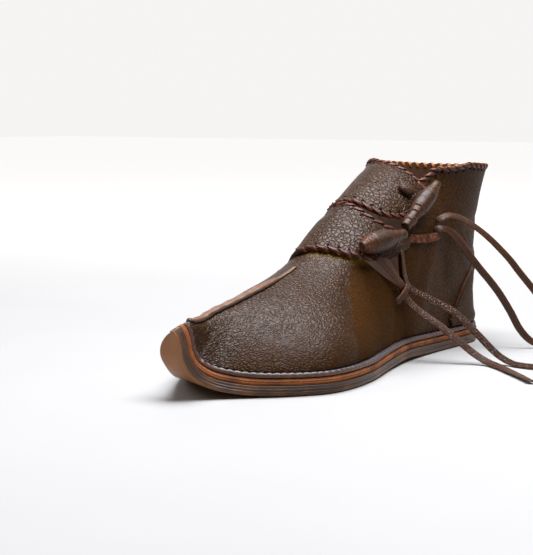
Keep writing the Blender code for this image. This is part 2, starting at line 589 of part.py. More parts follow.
def add_vamp_seam():
    """Raised seam along the vamp, where its two halves are pinched up and sewn edge to edge."""
    rows = np.linspace(*SEAM_ROWS, 26)
    fade = np.clip((SEAM_ROWS[1] - rows) / 1.5, SEAM_FADE, 1.0)
    step = 0.002
    points = []
    for row, size in zip(rows, fade):
        middle, normal = last_surface(row, 0.0), last_normal(row, step)
        normal = normal * np.array([1.0, 0.0, 1.0])
        normal = normal / np.linalg.norm(normal)
        for outward, up in SEAM_SECTION:
            height = up if up <= GAP else GAP + (up - GAP) * size
            points.append(middle + np.array([0.0, outward * size, 0.0]) + normal * height)
    size, count = len(SEAM_SECTION), len(rows)
    faces = []
    for k in range(count - 1):
        for j in range(size):
            following = (j + 1) % size
            faces.append([k * size + j, k * size + following, (k + 1) * size + following, (k + 1) * size + j])
    faces.append(list(range(size)))
    faces.append([(count - 1) * size + j for j in reversed(range(size))])
    add_solid("vamp_seam", points, faces, "grained_leather")


def add_toggle(name):
    """Rolled leather toggle: a stepped roll, fat in the middle, turned about its own axis."""
    start, end = (MM * np.array(point) for point in TOGGLE_AXES[name])
    axis = end - start
    length = np.linalg.norm(axis)
    along = axis / length
    side = np.cross(along, [0.0, 0.0, 1.0])
    side /= np.linalg.norm(side)
    top = np.cross(side, along)
    points, faces = [], []
    for share, radius in TOGGLE_ROLLS[name]:
        for k in range(TOGGLE_SIDES):
            angle = 2 * math.pi * k / TOGGLE_SIDES
            spoke = side * math.cos(angle) + top * math.sin(angle)
            points.append(start + axis * share + spoke * radius * MM)
    rings = len(TOGGLE_ROLLS[name])
    for ring in range(rings - 1):
        for k in range(TOGGLE_SIDES):
            following = (k + 1) % TOGGLE_SIDES
            faces.append([ring * TOGGLE_SIDES + k, ring * TOGGLE_SIDES + following,
                          (ring + 1) * TOGGLE_SIDES + following, (ring + 1) * TOGGLE_SIDES + k])
    faces.append(list(range(TOGGLE_SIDES)))
    faces.append([(rings - 1) * TOGGLE_SIDES + k for k in reversed(range(TOGGLE_SIDES))])
    add_solid(name, points, faces, "thong_leather")


def add_thong(name):
    """A length of thong as a tube along a smooth curve through its route."""
    route = MM * np.array(THONGS[name])
    spacing = 5 * THONG_RADIUS
    places = np.linspace(0, len(route) - 1, 20 * len(route))
    fine = blend(route, places)
    run = np.concatenate([[0.0], np.cumsum(np.linalg.norm(np.diff(fine, axis=0), axis=1))])
    steps = np.linspace(0, run[-1], max(4, round(run[-1] / spacing) + 1))
    path = placed(np.stack([np.interp(steps, run, fine[:, k]) for k in range(3)], axis=-1))
    curve = bpy.data.curves.new(name, "CURVE")
    curve.dimensions = "3D"
    curve.bevel_depth = THONG_RADIUS
    curve.bevel_resolution = 2
    curve.use_fill_caps = True
    spline = curve.splines.new("POLY")
    spline.points.add(len(path) - 1)
    for point, position in zip(spline.points, path):
        point.co = (*Vector(position), 1.0)
    curve.materials.append(leather("thong_leather"))
    cord = bpy.data.objects.new(name, curve)
    bpy.context.scene.collection.objects.link(cord)


def add_strap(name):
    """A short flat strap as a bar of oblong section that follows the upper."""
    route, width, thickness = STRAPS[name]
    row, across, height = blend(np.array(route), np.linspace(0, len(route) - 1, 2 * len(route) - 1)).T
    path, face = lifted(row, across, height * MM), last_normal(row, across)
    ahead = np.gradient(path, axis=0)
    broad = np.cross(ahead, face)
    broad /= np.linalg.norm(broad, axis=1)[:, None]
    face = np.cross(broad, ahead)
    face /= np.linalg.norm(face, axis=1)[:, None]
    corners = ((-0.5, -0.5), (0.5, -0.5), (0.5, 0.5), (-0.5, 0.5))
    points = np.stack([path + broad * wide * width * MM + face * deep * thickness * MM
                       for wide, deep in corners], axis=1).reshape(-1, 3)
    faces = [[0, 1, 2, 3], [len(points) - 1 - k for k in range(4)]]
    for ring in range(0, len(points) - 4, 4):
        for k in range(4):
            following = (k + 1) % 4
            faces.append([ring + k, ring + 4 + k, ring + 4 + following, ring + following])
    add_solid(name, points, faces, "thong_leather")


add_outsole()
add_midsole()
add_welt()
add_insole()
add_upper()
add_heel_counter()
add_vamp_seam()
for toggle in TOGGLE_AXES:
    add_toggle(toggle)
for strap in STRAPS:
    add_strap(strap)
for thong in THONGS:
    add_thong(thong)
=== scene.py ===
"""Left ankle boot of a medieval pattern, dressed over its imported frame."""

import functools
import math

import bpy
import numpy as np
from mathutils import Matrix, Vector


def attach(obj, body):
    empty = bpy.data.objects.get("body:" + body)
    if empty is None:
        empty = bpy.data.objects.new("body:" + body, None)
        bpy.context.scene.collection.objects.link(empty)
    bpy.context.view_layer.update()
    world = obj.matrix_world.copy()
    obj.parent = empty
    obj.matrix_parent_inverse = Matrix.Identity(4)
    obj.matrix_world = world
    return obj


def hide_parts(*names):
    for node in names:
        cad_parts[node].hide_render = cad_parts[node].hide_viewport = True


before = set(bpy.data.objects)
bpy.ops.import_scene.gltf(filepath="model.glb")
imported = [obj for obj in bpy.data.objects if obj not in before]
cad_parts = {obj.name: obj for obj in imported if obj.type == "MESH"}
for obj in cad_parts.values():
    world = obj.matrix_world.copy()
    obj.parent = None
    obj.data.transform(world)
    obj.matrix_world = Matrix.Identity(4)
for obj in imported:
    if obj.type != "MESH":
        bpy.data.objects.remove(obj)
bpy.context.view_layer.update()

# Outsole: thick vegetable-tanned cow leather, cut to the outline of the last, its toe end bent up while
# wet. Its trimmed edge is stained dark and burnished, so that the layers of the hide show as fine lines.
MM = 0.001
MIDDLE = MM * np.array([144.6, 6.0, 0.0])
OUTSOLE_THICK = 6.0 * MM
TIP_EASE = 35.0 * MM
SOLE = MM * np.array([
    # forward, up, outer, inner, cant
    (0.0, 7.5, 1.0, 0.0, 0.0),
    (1.6, 6.2, 12.0, 10.0, 0.0),
    (6.5, 3.2, 23.0, 19.5, 0.0),
    (15.0, 0.8, 30.0, 26.0, 0.0),
    (28.0, 0.0, 33.6, 29.2, 0.0),
    (52.0, 0.0, 34.6, 30.0, 0.0),
    (85.0, 0.3, 35.2, 30.5, 0.0),
    (118.0, 1.4, 38.2, 31.5, 0.0),
    (152.0, 0.6, 45.5, 36.0, 0.0),
    (185.0, 0.0, 54.5, 42.0, 0.0),
    (212.0, 0.0, 58.0, 46.0, 0.0),
    (233.0, 0.0, 55.0, 45.5, 0.0),
    (252.0, 0.2, 42.5, 36.0, 2.8),
    (268.0, 1.2, 27.5, 25.8, 5.2),
    (282.0, 5.2, 14.8, 16.8, 5.8),
    (292.0, 12.8, 8.5, 11.6, 3.8),
    (297.0, 22.5, 5.7, 10.8, 0.6),
    (298.6, 29.5, 5.2, 9.0, 0.0),
    (300.0, 35.0, 4.2, 4.0, 0.0),
    (300.9, 38.2, 2.3, -1.3, 0.0),
])
TIP_STATION = len(SOLE) - 1
OUTSOLE_RIM = (
    # inset, lift
    (3.2, 0.0), (2.0, 0.15), (1.1, 0.55), (0.45, 1.1), (0.15, 1.75), (0.35, 1.95), (0.12, 2.2), (0.0, 2.8),
    (0.42, 3.05), (0.50, 3.25), (0.42, 3.45), (0.05, 3.7), (0.05, 4.3), (0.28, 4.5), (0.08, 4.75),
    (0.12, 5.5), (0.35, 6.0),
)


def placed(points):
    """Points from the shoe's own axes, forward, outward and up, to the part's frame."""
    return (MIDDLE - np.asarray(points, float)) * np.array([1.0, 1.0, -1.0])


def blend(table, at):
    """Rows of a table at fractional row numbers, along a smooth curve through its rows."""
    at = np.atleast_1d(np.asarray(at, float))
    last = len(table) - 1
    row = np.clip(np.floor(at).astype(int), 0, last - 1)
    share = (at - row)[:, None]
    start, end = table[row], table[row + 1]
    before, after = table[np.maximum(row - 1, 0)], table[np.minimum(row + 2, last)]
    slope_start = np.where((row > 0)[:, None], (end - before) / 2, end - start)
    slope_end = np.where((row + 2 <= last)[:, None], (after - start) / 2, end - start)
    return ((2 * share**3 - 3 * share**2 + 1) * start + (share**3 - 2 * share**2 + share) * slope_start
            + (3 * share**2 - 2 * share**3) * end + (share**3 - share**2) * slope_end)


def run_along(points):
    """Length along a line of points, at each of them."""
    return np.concatenate([[0.0], np.cumsum(np.linalg.norm(np.diff(points, axis=0), axis=1))])


def ramp(values, start, reach):
    """Share of the way from a start over a reach, held between 0 and 1. A negative reach runs down."""
    return np.clip((values - start) / reach, 0.0, 1.0)


FINE = np.linspace(0, TIP_STATION, 1201)
SOLE_LINE = np.maximum(blend(SOLE, FINE), np.where(np.arange(5) == 2, -1.0, 0.0)).T
LINE_FORWARD, LINE_UP, LINE_OUTER, LINE_INNER, LINE_CANT = SOLE_LINE
ALONG = run_along(np.stack([LINE_FORWARD, LINE_UP], axis=1))


def sole_edge(station, side, inset=0.0, lift=0.0):
    """Points on the sole's rim at the stations, moved in from the edge and up square to the sole."""
    width = LINE_OUTER if side > 0 else LINE_INNER
    run, widening = np.gradient(ALONG), np.gradient(width)
    slant = np.hypot(run, widening)
    eased = inset * ramp(ALONG, ALONG[-1], -TIP_EASE)
    along = ALONG + eased * widening / slant
    outward = side * (width - eased * run / slant)
    line = (*SOLE_LINE, np.gradient(LINE_FORWARD), np.gradient(LINE_UP), np.gradient(LINE_CANT))
    line = [np.interp(along, ALONG, values) for values in line]
    forward, up, outer, inner, cant, ahead, climb, canting = line
    share = (outer - outward) / (outer + inner)
    climb = climb + share * canting
    steep = np.hypot(ahead, climb)
    rim = (forward - climb / steep * lift, outward, up + share * cant + ahead / steep * lift)
    return np.stack([np.interp(np.atleast_1d(station), FINE, values) for values in rim], axis=-1)


def point_values(mesh, shape, values):
    """Named values as point attributes of a mesh whose points come from an array of the given shape."""
    for label, value in values.items():
        layer = mesh.attributes.new(label, "FLOAT", "POINT")
        layer.data.foreach_set("value", np.broadcast_to(value, shape).astype(np.float32).reshape(-1))


def shaped_grid(name, points, keep=None, **values):
    """A grid primitive moved onto an array of points in the shoe's own axes, with its doubles merged.
    Faces outside keep are taken out, and each named value becomes a point attribute of the mesh."""
    rows, columns = points.shape[:2]
    bpy.ops.object.select_all(action="DESELECT")
    bpy.ops.mesh.primitive_grid_add(x_subdivisions=columns - 1, y_subdivisions=rows - 1, size=1.0)
    piece = bpy.context.object
    piece.name = piece.data.name = name
    piece.data.vertices.foreach_set("co", placed(points).astype(np.float32).reshape(-1))
    point_values(piece.data, (rows, columns), values)
    bpy.ops.object.mode_set(mode="EDIT")
    bpy.ops.mesh.select_mode(type="FACE")
    bpy.ops.mesh.select_all(action="DESELECT")
    if keep is not None:
        bpy.ops.object.mode_set(mode="OBJECT")
        piece.data.polygons.foreach_set("select", ~np.asarray(keep, bool).reshape(-1))
        bpy.ops.object.mode_set(mode="EDIT")
        bpy.ops.mesh.delete(type="FACE")
    bpy.ops.mesh.select_mode(type="VERT")
    bpy.ops.mesh.select_all(action="SELECT")
    bpy.ops.mesh.remove_doubles(threshold=1e-6)
    bpy.ops.object.mode_set(mode="OBJECT")
    bpy.ops.object.shade_smooth()
    return piece


def face_outwards():
    """Turns every face of the active piece outwards."""
    bpy.ops.object.mode_set(mode="EDIT")
    bpy.ops.mesh.select_all(action="SELECT")
    bpy.ops.mesh.normals_make_consistent(inside=False)
    bpy.ops.object.mode_set(mode="OBJECT")


def loft(name, sections, **values):
    """A closed piece lofted through rings of points in the shoe's own axes, with both ends filled."""
    closed = np.concatenate([sections, sections[:, :1]], axis=1)
    values = {label: np.concatenate([value, value[:, :1]], axis=1) for label, value in values.items()}
    piece = shaped_grid(name, closed, **values)
    bpy.ops.object.mode_set(mode="EDIT")
    bpy.ops.mesh.select_all(action="DESELECT")
    bpy.ops.mesh.select_non_manifold()
    bpy.ops.mesh.fill_holes(sides=0)
    face_outwards()
    return piece


def linear(colour):
    """An sRGB hex colour as the shader's linear red, green, blue and alpha."""
    parts = [int(colour[k:k + 2], 16) / 255 for k in (1, 3, 5)]
    return (*[part / 12.92 if part <= 0.04045 else ((part + 0.055) / 1.055) ** 2.4 for part in parts], 1.0)


def add_node(material, kind, inputs, out=None, **settings):
    """A shader node with its settings, its inputs filled by values, hex colours or other nodes' outputs.
    Gives the named output, or else the first in use. By number, a Mix has its factor at 0 and its colours
    at 6 and 7, and a MapRange its range at 1 and 2 and its results at 3 and 4."""
    node = material.node_tree.nodes.new("ShaderNode" + kind)
    for name, value in settings.items():
        setattr(node, name, value)
    for socket, value in inputs.items():
        if isinstance(value, bpy.types.NodeSocket):
            material.node_tree.links.new(value, node.inputs[socket])
        else:
            node.inputs[socket].default_value = linear(value) if isinstance(value, str) else value
    return node.outputs[out] if out else next(socket for socket in node.outputs if socket.enabled)


def new_material(name, roughness, **sockets):
    """A named material with its Principled shader's constants set, the function that adds a node to it,
    and the piece's own coordinates."""
    material = bpy.data.materials.new(name)
    material.use_nodes = True
    shader = material.node_tree.nodes["Principled BSDF"]
    shader.inputs["Roughness"].default_value = roughness
    for socket, value in sockets.items():
        shader.inputs[socket.replace("_", " ")].default_value = value
    node = functools.partial(add_node, material)
    return material, node, node("TexCoord", {}, "Object")


def surface(material, colour, coats, bumps=(), **linked):
    """Links a material's colour, relief and other values to its shader. A coat is a factor and the colour
    that it lays over those before it. A bump is a height, a strength and a depth in millimetres."""
    for factor, coat in coats:
        colour = add_node(material, "Mix", {0: factor, 6: colour, 7: coat}, data_type="RGBA")
    relief = {}
    for height, strength, depth in bumps:
        inputs = {"Height": height, "Strength": strength, "Distance": depth * MM}
        relief = {"Normal": add_node(material, "Bump", {**inputs, **relief})}
    if "Coat_Weight" in linked:
        relief["Coat_Normal"] = relief["Normal"]
    shader = material.node_tree.nodes["Principled BSDF"].inputs
    for socket, value in {"Base_Color": colour, **relief, **linked}.items():
        material.node_tree.links.new(value, shader[socket.replace("_", " ")])


def sole_sections(stations, rim, across=14):
    """Closed rings across the sole: up the outer edge, over the top, down the inner edge and back."""
    outer = np.stack([sole_edge(stations, 1, inset * MM, lift * MM) for inset, lift in rim], axis=1)
    inner = np.stack([sole_edge(stations, -1, inset * MM, lift * MM) for inset, lift in rim], axis=1)
    share = np.linspace(0, 1, across)[1:-1, None]
    over = outer[:, None, -1] * (1 - share) + inner[:, None, -1] * share
    under = inner[:, None, 0] * (1 - share) + outer[:, None, 0] * share
    lifts = np.array([lift for inset, lift in rim]) / rim[-1][1]
    rise = np.concatenate([lifts, np.full(across - 2, 1.0), lifts[::-1], np.full(across - 2, 0.0)])
    edge = np.tile(np.concatenate([np.ones(len(rim)), np.zeros(across - 2)]), 2)
    sections = np.concatenate([outer, over, inner[:, ::-1], under], axis=1)
    return sections, np.broadcast_to(rise, sections.shape[:2]), np.broadcast_to(edge, sections.shape[:2])


HEEL_STATION, TOE_STATION = 4, 12
SOLE_STATIONS = np.concatenate([np.linspace(0, HEEL_STATION, 70),
                                np.linspace(HEEL_STATION, TOE_STATION, 90)[1:],
                                np.linspace(TOE_STATION, TIP_STATION, 110)[1:]])
sections, rise, edge = sole_sections(SOLE_STATIONS, OUTSOLE_RIM)
outsole = loft("outsole_leather", sections, rise=rise, edge=edge)

# Burnished sole leather: dark stained edge with the hide's layers as fine lines, a raw tan arris at the
# bottom, and a walked-on underside that is smooth, tan and paler where it faces the floor.
material, node, place = new_material("burnished_sole_leather", 0.42, Specular_IOR_Level=0.45)
risen = node("Attribute", {}, "Fac", attribute_name="rise")
rimmed = node("Attribute", {}, "Fac", attribute_name="edge")
blotch = node("TexNoise", {"Vector": place, "Scale": 1 / (14 * MM), "Detail": 5.0})
fibre = node("TexNoise", {"Vector": place, "Scale": 1 / (1.6 * MM), "Detail": 3.0})
layers = node("Math", {0: risen, 1: 46.0}, operation="MULTIPLY")
layers = node("Math", {0: fibre, 1: 3.5, 2: layers}, operation="MULTIPLY_ADD")
layers = node("Math", {0: layers}, operation="SINE")
layers = node("MapRange", {"Value": layers, 1: -1.0, 2: 1.0})
worn = node("MapRange", {"Value": blotch, 1: 0.5, 2: 0.72})
stain = node("Mix", {0: layers, 6: "#2a1c15", 7: "#4d382b"}, data_type="RGBA")
stain = node("Mix", {0: worn, 6: stain, 7: "#6b452b"}, data_type="RGBA")
arris = node("MapRange", {"Value": risen, 1: 0.20, 2: 0.06})
stain = node("Mix", {0: arris, 6: stain, 7: "#8a5a30"}, data_type="RGBA")
surface(material, "#6b3f1c", [(blotch, "#a0662f"), (rimmed, stain)],
        [(layers, 0.5, 0.15), (fibre, 0.35, 0.2)])
outsole.data.materials.append(material)
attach(outsole, "root")
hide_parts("outsole")

# Midsole: a thinner sheet of the same hide between outsole and welt, left unstained, so that its raw cut
# edge runs round the boot as an orange line. Glued and then caught by the sole stitching.
GAP = 0.3 * MM
MIDSOLE_THICK = 3.2 * MM
MIDSOLE_LOW = OUTSOLE_THICK + GAP
MIDSOLE_HIGH = MIDSOLE_LOW + MIDSOLE_THICK
MIDSOLE_RIM = (
    # inset, lift over the midsole's underside
    (0.9, 0.0), (0.4, 0.25), (0.15, 0.8), (0.3, 1.3), (0.1, 1.9), (0.2, 2.5), (0.45, 2.95), (0.9, 3.2),
)
midsole_rim = [(inset, MIDSOLE_LOW / MM + lift) for inset, lift in MIDSOLE_RIM]
sections, rise, edge = sole_sections(SOLE_STATIONS, midsole_rim, 6)
midsole = loft("midsole_leather", sections, rise=rise)

# Raw cut leather: open orange-tan fibres, dull, streaked along the edge and darker where wax caught it.
material, node, place = new_material("raw_cut_leather", 0.72, Specular_IOR_Level=0.3)
streak = node("Mapping", {"Vector": place, "Scale": (1.0, 1.0, 3.0)})
fibre = node("TexNoise", {"Vector": streak, "Scale": 1 / (1.3 * MM), "Detail": 4.0})
blotch = node("TexNoise", {"Vector": place, "Scale": 1 / (11 * MM), "Detail": 4.0})
dark = node("MapRange", {"Value": blotch, 1: 0.42, 2: 0.66})
risen = node("Attribute", {}, "Fac", attribute_name="rise")
layers = node("Math", {0: fibre, 1: 2.5}, operation="MULTIPLY")
layers = node("Math", {0: risen, 1: 52.0, 2: layers}, operation="MULTIPLY_ADD")
layers = node("Math", {0: layers}, operation="SINE")
layers = node("MapRange", {"Value": layers, 1: 0.1, 2: 0.9})
surface(material, "#6f3716", [(fibre, "#b56c34"), (dark, "#5c3218"), (layers, "#3b2113")],
        [(fibre, 0.6, 0.3)])
midsole.data.materials.append(material)
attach(midsole, "root")
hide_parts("midsole")

# Welt: a strip of waxed leather round the edge of the sole, to which the turned-out foot of the upper is
# sewn. The thread pulls it into small scallops, one to each stitch.
WELT_THICK = 2.2 * MM
WELT_SEAT, UPPER_SEAT = 1.9 * GAP, 2.1 * GAP
WELT_LOW = MIDSOLE_HIGH + WELT_SEAT
WELT_HIGH = WELT_LOW + WELT_THICK
UPPER_FOOT = WELT_HIGH + UPPER_SEAT
STITCH_PITCH, STITCH_INSET, STITCH_STEPS = 4.2 * MM, 1.0 * MM, 8
RIM_SAMPLES = 4001
SCALLOP_IN, SCALLOP_UP, SCALLOP_ROUND = 0.25 * MM, 0.55 * MM, 0.7
WELT_TOP_SHARE = 0.85
WELT_RING = (
    # inset, share of the thickness, how far the scallops lift it
    (9.5, 0.0, 0.0), (0.9, 0.0, 0.0), (0.45, 0.2, 0.1), (0.35, 0.55, 0.3), (0.6, 0.85, 0.7),
    (1.1, 1.0, 1.0), (2.2, 1.02, 0.8), (3.4, 1.0, 0.25), (7.4, 1.0, 0.0), (9.5, 1.0, 0.0),
)


def rim_stations(inset, lift, spacing):
    """Sides and stations at even steps round the sole, from the heel to the tip and back, with the run."""
    stations = np.linspace(0, TIP_STATION, RIM_SAMPLES)
    outer, inner = (sole_edge(stations, side, inset, lift) for side in (1, -1))
    ring = np.concatenate([outer, inner[::-1]])
    run = run_along(ring)
    even = np.linspace(0, run[-1], round(run[-1] / spacing) + 1)
    return np.interp(even, run, np.concatenate([stations, TIP_STATION * 2 - stations[::-1]])), even


def rim_points(unrolled, inset, lift):
    """Points round the sole's rim at unrolled stations, counted on past the tip along the inner side."""
    outer = sole_edge(np.minimum(unrolled, TIP_STATION), 1, inset, lift)
    inner = sole_edge(np.minimum(2 * TIP_STATION - unrolled, TIP_STATION), -1, inset, lift)
    return np.where((unrolled <= TIP_STATION)[:, None], outer, inner)


unrolled, run = rim_stations(STITCH_INSET, WELT_HIGH, STITCH_PITCH / STITCH_STEPS)
scallop = np.abs(np.sin(np.pi * run / STITCH_PITCH)) ** SCALLOP_ROUND
rings = []
for inset, share, crimp in WELT_RING:
    lift = WELT_LOW + share * WELT_THICK
    low = rim_points(unrolled, inset * MM, lift)
    high = rim_points(unrolled, inset * MM + SCALLOP_IN, lift + SCALLOP_UP * crimp)
    rings.append(low + (high - low) * scallop[:, None])
ring = np.stack(rings, axis=1)
ring = np.concatenate([ring, ring[:, :1]], axis=1)
ring = np.concatenate([ring, ring[:1]], axis=0)
crimped = np.concatenate([scallop, scallop[:1]])[:, None]
topside = np.array([share >= WELT_TOP_SHARE for inset, share, crimp in WELT_RING + WELT_RING[:1]])
welt = shaped_grid("welt_strip", ring, crimp=crimped, top=topside)
face_outwards()

# Waxed welt leather: near-black on top, with a painted grey sheen on the swells of the scallops, so that
# the pinched grooves between them stay dark, and a brown cut edge below.
material, node, place = new_material("waxed_welt_leather", 0.42, Specular_IOR_Level=0.5)
swell = node("Attribute", {}, "Fac", attribute_name="crimp")
upward = node("Attribute", {}, "Fac", attribute_name="top")
blotch = node("TexNoise", {"Vector": place, "Scale": 1 / (3 * MM), "Detail": 5.0})
# Painted sheen: grey laid on the crowns of the scallops' swells, in patches; the grooves keep the
# near-black.
welt_swell_sheen = node("Math", {0: swell, 1: blotch}, operation="MULTIPLY")
welt_swell_sheen = node("MapRange", {"Value": welt_swell_sheen, 1: 0.1, 2: 0.6})
welt_top_with_sheen = node("Mix", {0: welt_swell_sheen, 6: "#120e0f", 7: "#5a5358"}, data_type="RGBA")
surface(material, "#2a1710", [(blotch, "#6e4326"), (upward, welt_top_with_sheen)], [(blotch, 0.6, 0.4)])
welt.data.materials.append(material)
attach(welt, "root")
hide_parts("welt")

# Insole: a tan leather sheet cut to the inside of the upper, which fills the welt's opening and covers
# the stitching under the foot.
INSOLE_ENDS = (1.7, 13.0)
INSOLE_SEAT = UPPER_FOOT / MM
INSOLE_RIM = (
    # inset, lift
    (9.8, WELT_LOW / MM), (9.8, INSOLE_SEAT), (8.1, INSOLE_SEAT), (8.0, INSOLE_SEAT + 1.6),
    (8.6, INSOLE_SEAT + 2.4),
)
sections, rise, edge = sole_sections(np.linspace(*INSOLE_ENDS, 60), INSOLE_RIM, 10)
insole = loft("insole_sheet", sections)

# Flesh side of leather: the nap of cut fibres, dull brown-tan, darkened in patches by the foot.
flesh_side, node, place = new_material("leather_flesh_side", 0.9, Specular_IOR_Level=0.2, Sheen_Weight=0.15)
nap = node("TexNoise", {"Vector": place, "Scale": 1 / (0.9 * MM), "Detail": 4.0})
blotch = node("TexNoise", {"Vector": place, "Scale": 1 / (24 * MM), "Detail": 4.0})
surface(flesh_side, "#26160c", [(blotch, "#5c3a20")], [(nap, 0.5, 0.3)])
insole.data.materials.append(flesh_side)
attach(insole, "root")
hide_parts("insole")

# Upper: one wrap of oiled cowhide drawn over the last while damp. The inner quarter runs over the instep
# as two flaps, and the wall is open at the collar, the throat and underneath. On the inner side the back
# edge of the vamp laps over the quarter.
WALL, WALL_ROUNDING, CUT_ANGLE = 2.2 * MM, 0.6 * MM, math.radians(55)
FLAP_RISE = WALL + 2 * GAP
FEATHER_INSET = 4.0 * MM
LAST_COLUMNS = ("top_forward", "top_up", "swing", "foot", "back_forward", "back_up",
                "climb", "lean", "spread", "drop", "slant")
LAST = (
    (286.0, 40.8, 0.6, 18.7, 0.0, 0.0, 2.0, 0.3, 2.2, 0.2, 1.0),
    (273.5, 40.2, -2.0, 17.2, 0.0, 0.0, 4.0, 0.5, 5.5, 0.4, 1.0),
    (261.0, 43.0, -2.8, 15.4, 0.0, 0.0, 8.0, 1.0, 9.0, 1.0, 1.0),
    (246.0, 46.2, -2.0, 13.7, 0.0, 0.0, 12.0, 1.5, 14.0, 1.5, 1.0),
    (229.0, 50.0, -1.2, 12.2, 0.0, 0.0, 15.0, 2.0, 19.0, 2.0, 1.0),
    (209.0, 54.7, -0.5, 10.6, 0.0, 0.0, 18.0, 2.5, 23.0, 2.5, 1.0),
    (190.0, 60.2, 0.0, 9.1, 0.0, 0.0, 22.0, 2.5, 25.0, 2.5, 1.0),
    (172.0, 68.4, 0.3, 8.0, 0.0, 0.0, 26.0, 2.5, 28.0, 2.5, 1.0),
    (154.0, 80.4, 0.8, 7.0, 0.0, 0.0, 32.0, 3.5, 31.0, 2.0, 1.0),
    (137.0, 91.6, 1.4, 6.0, 0.0, 0.0, 38.0, 5.0, 33.0, 1.5, 1.0),
    (121.5, 100.8, 2.0, 5.0, 0.0, 0.0, 43.0, 6.0, 36.0, 1.0, 1.0),
    (109.0, 107.6, 2.2, 4.0, 0.0, 0.0, 45.0, 7.5, 39.0, 0.5, 0.8),
    (101.0, 111.6, 2.2, 3.0, 0.0, 0.0, 43.0, 11.5, 40.5, 0.0, 0.7),
    (95.5, 114.3, 2.1, 2.0, 0.0, 0.0, 32.0, 20.5, 42.5, 0.0, 0.7),
    (91.5, 116.4, 1.9, 0.0, 0.0, 0.0, 15.0, 49.0, 41.0, 0.0, 0.0),
    (87.5, 118.2, 1.7, -1.0, 3.5, 52.0, 6.0, 44.5, 42.5, 0.0, 0.0),
    (83.5, 120.4, 2.2, -1.0, -2.5, 86.0, 2.0, 43.5, 44.0, 0.0, 0.0),
    (80.0, 121.8, 4.0, -1.0, -4.5, 116.5, 0.0, 48.5, 48.5, 0.0, 0.0),
)
SEAM_ROW = 14.0
COLLAR_ROW = len(LAST) - 1.0
EASE_ROWS, EASE_SPREAD, EASE_EDGE = 0.5, 1.8, 0.2
FLAP_ROOT, FLAP_RISEN, FLAP_SPLIT = -0.30, -0.12, 9.44
THROAT_CORNER = (8.50, 0.67)
# Cut lines, as (share across, row) or (row, share across) pairs
VAMP_EDGE = ((-1.0, 6.80), (-0.60, 7.00), (-0.30, 7.10), (-0.10, 7.04), (0.05, 7.32), (0.20, 7.56),
             (0.35, 7.76), (0.46, 7.86), (0.56, 8.07), THROAT_CORNER[::-1], (1.0, 8.50))
QUARTER_EDGE = (THROAT_CORNER, (8.68, 0.62), (8.93, 0.53), (9.19, 0.47), (9.52, 0.42),
                (10.50, 0.33), (11.88, 0.26), (14.10, 0.19), (17.0, 0.17))
COLLAR_EDGE = ((-1.0, 17.0), (0.10, 14.0), (0.19, 14.1), (0.25, 16.25), (0.43, 16.95), (0.70, 17.0),
               (1.0, 17.0))
# Flaps, a row per place along them: share across, lower edge row, upper edge row
LOWER_FLAP = np.array([(-0.30, 7.10, 9.44), (-0.12, 7.08, 9.38), (0.00, 7.14, 9.30), (0.10, 7.24, 9.16),
                       (0.20, 7.36, 9.10), (0.30, 7.56, 9.26), (0.38, 7.82, 9.54), (0.44, 8.16, 9.60),
                       (0.47, 8.50, 9.40)])
UPPER_FLAP = np.array([(-0.30, 9.44, 17.0), (-0.12, 9.48, 16.3), (0.00, 9.44, 15.0), (0.10, 9.36, 14.3),
                       (0.18, 9.37, 13.8), (0.24, 9.50, 13.0), (0.29, 9.76, 12.2), (0.33, 10.20, 11.6)])
FLAP_COLUMNS = 56
FLAP_PUFF = 0.6 * MM
LAP_RISE, LAP_STEP, LAP_ROWS, LAP_FADE = 1.1 * MM, 0.015, 2.4, 0.08
PUCKER, PUCKER_REACH, PUCKER_DIP, PUCKER_END = 0.5 * MM, 3.5 * MM, 0.6, SEAM_ROW - 0.5
FOLD_SIDE = 6 * MM
# Folds worked into the leather by wear: side, from (forward, up) to (forward, up), height, half-width
FOLDS = (
    (1, 80.0, 72.0, 95.0, 34.0, 0.7, 5.0),
    (1, 92.0, 66.0, 104.0, 36.0, -0.6, 4.5),
    (1, 107.0, 58.0, 120.0, 24.0, 0.6, 5.5),
    (1, 66.0, 84.0, 70.0, 48.0, -0.7, 6.0),
    (1, 126.0, 42.0, 136.0, 16.0, -0.7, 4.5),
    (1, 161.0, 62.0, 176.0, 50.0, -0.7, 3.5),
    (1, 176.0, 50.0, 200.0, 30.0, -0.5, 4.5),
    (1, 150.0, 56.0, 166.0, 38.0, 0.6, 6.0),
    (1, 214.0, 36.0, 246.0, 30.0, -0.4, 4.0),
    (1, 8.0, 84.0, 40.0, 78.0, -0.7, 4.0),
    (1, 4.0, 18.0, 46.0, 17.0, 0.9, 3.2),
    (-1, 138.0, 88.0, 118.0, 58.0, -0.8, 5.0),
    (-1, 126.0, 84.0, 104.0, 60.0, 0.6, 6.0),
    (-1, 104.0, 58.0, 96.0, 26.0, -0.7, 6.0),
    (-1, 62.0, 104.0, 50.0, 66.0, -0.6, 7.0),
    (-1, 8.0, 84.0, 40.0, 78.0, -0.7, 4.0),
    (-1, 4.0, 18.0, 46.0, 17.0, 0.9, 3.2),
    (-1, 190.0, 46.0, 226.0, 34.0, -0.5, 4.5),
    (-1, 236.0, 40.0, 262.0, 34.0, -0.4, 3.5),
)
# Edge of the rubbed-smooth part of the outer quarter, as (up, forward) in millimetres
POLISHED_EDGE = ((13.0, 203.0), (30.0, 199.0), (52.0, 174.0), (64.0, 161.0), (80.0, 150.0))
# Where the rub starts and how far it takes to reach its full depth, in millimetres
RUB_BORDER, RUB_REAR, RUB_FRONT, RUB_TOP = (0.0, -3.5), (22.0, 30.0), (88.0, 28.0), (92.0, -22.0)
RUB_OUTER, RUB_HEEL, RUB_FOOT = (10.0, 8.0), (112.0, -30.0), (38.0, -18.0)
REAR_DEPTH, HALF_DEPTH = 0.4, 0.5
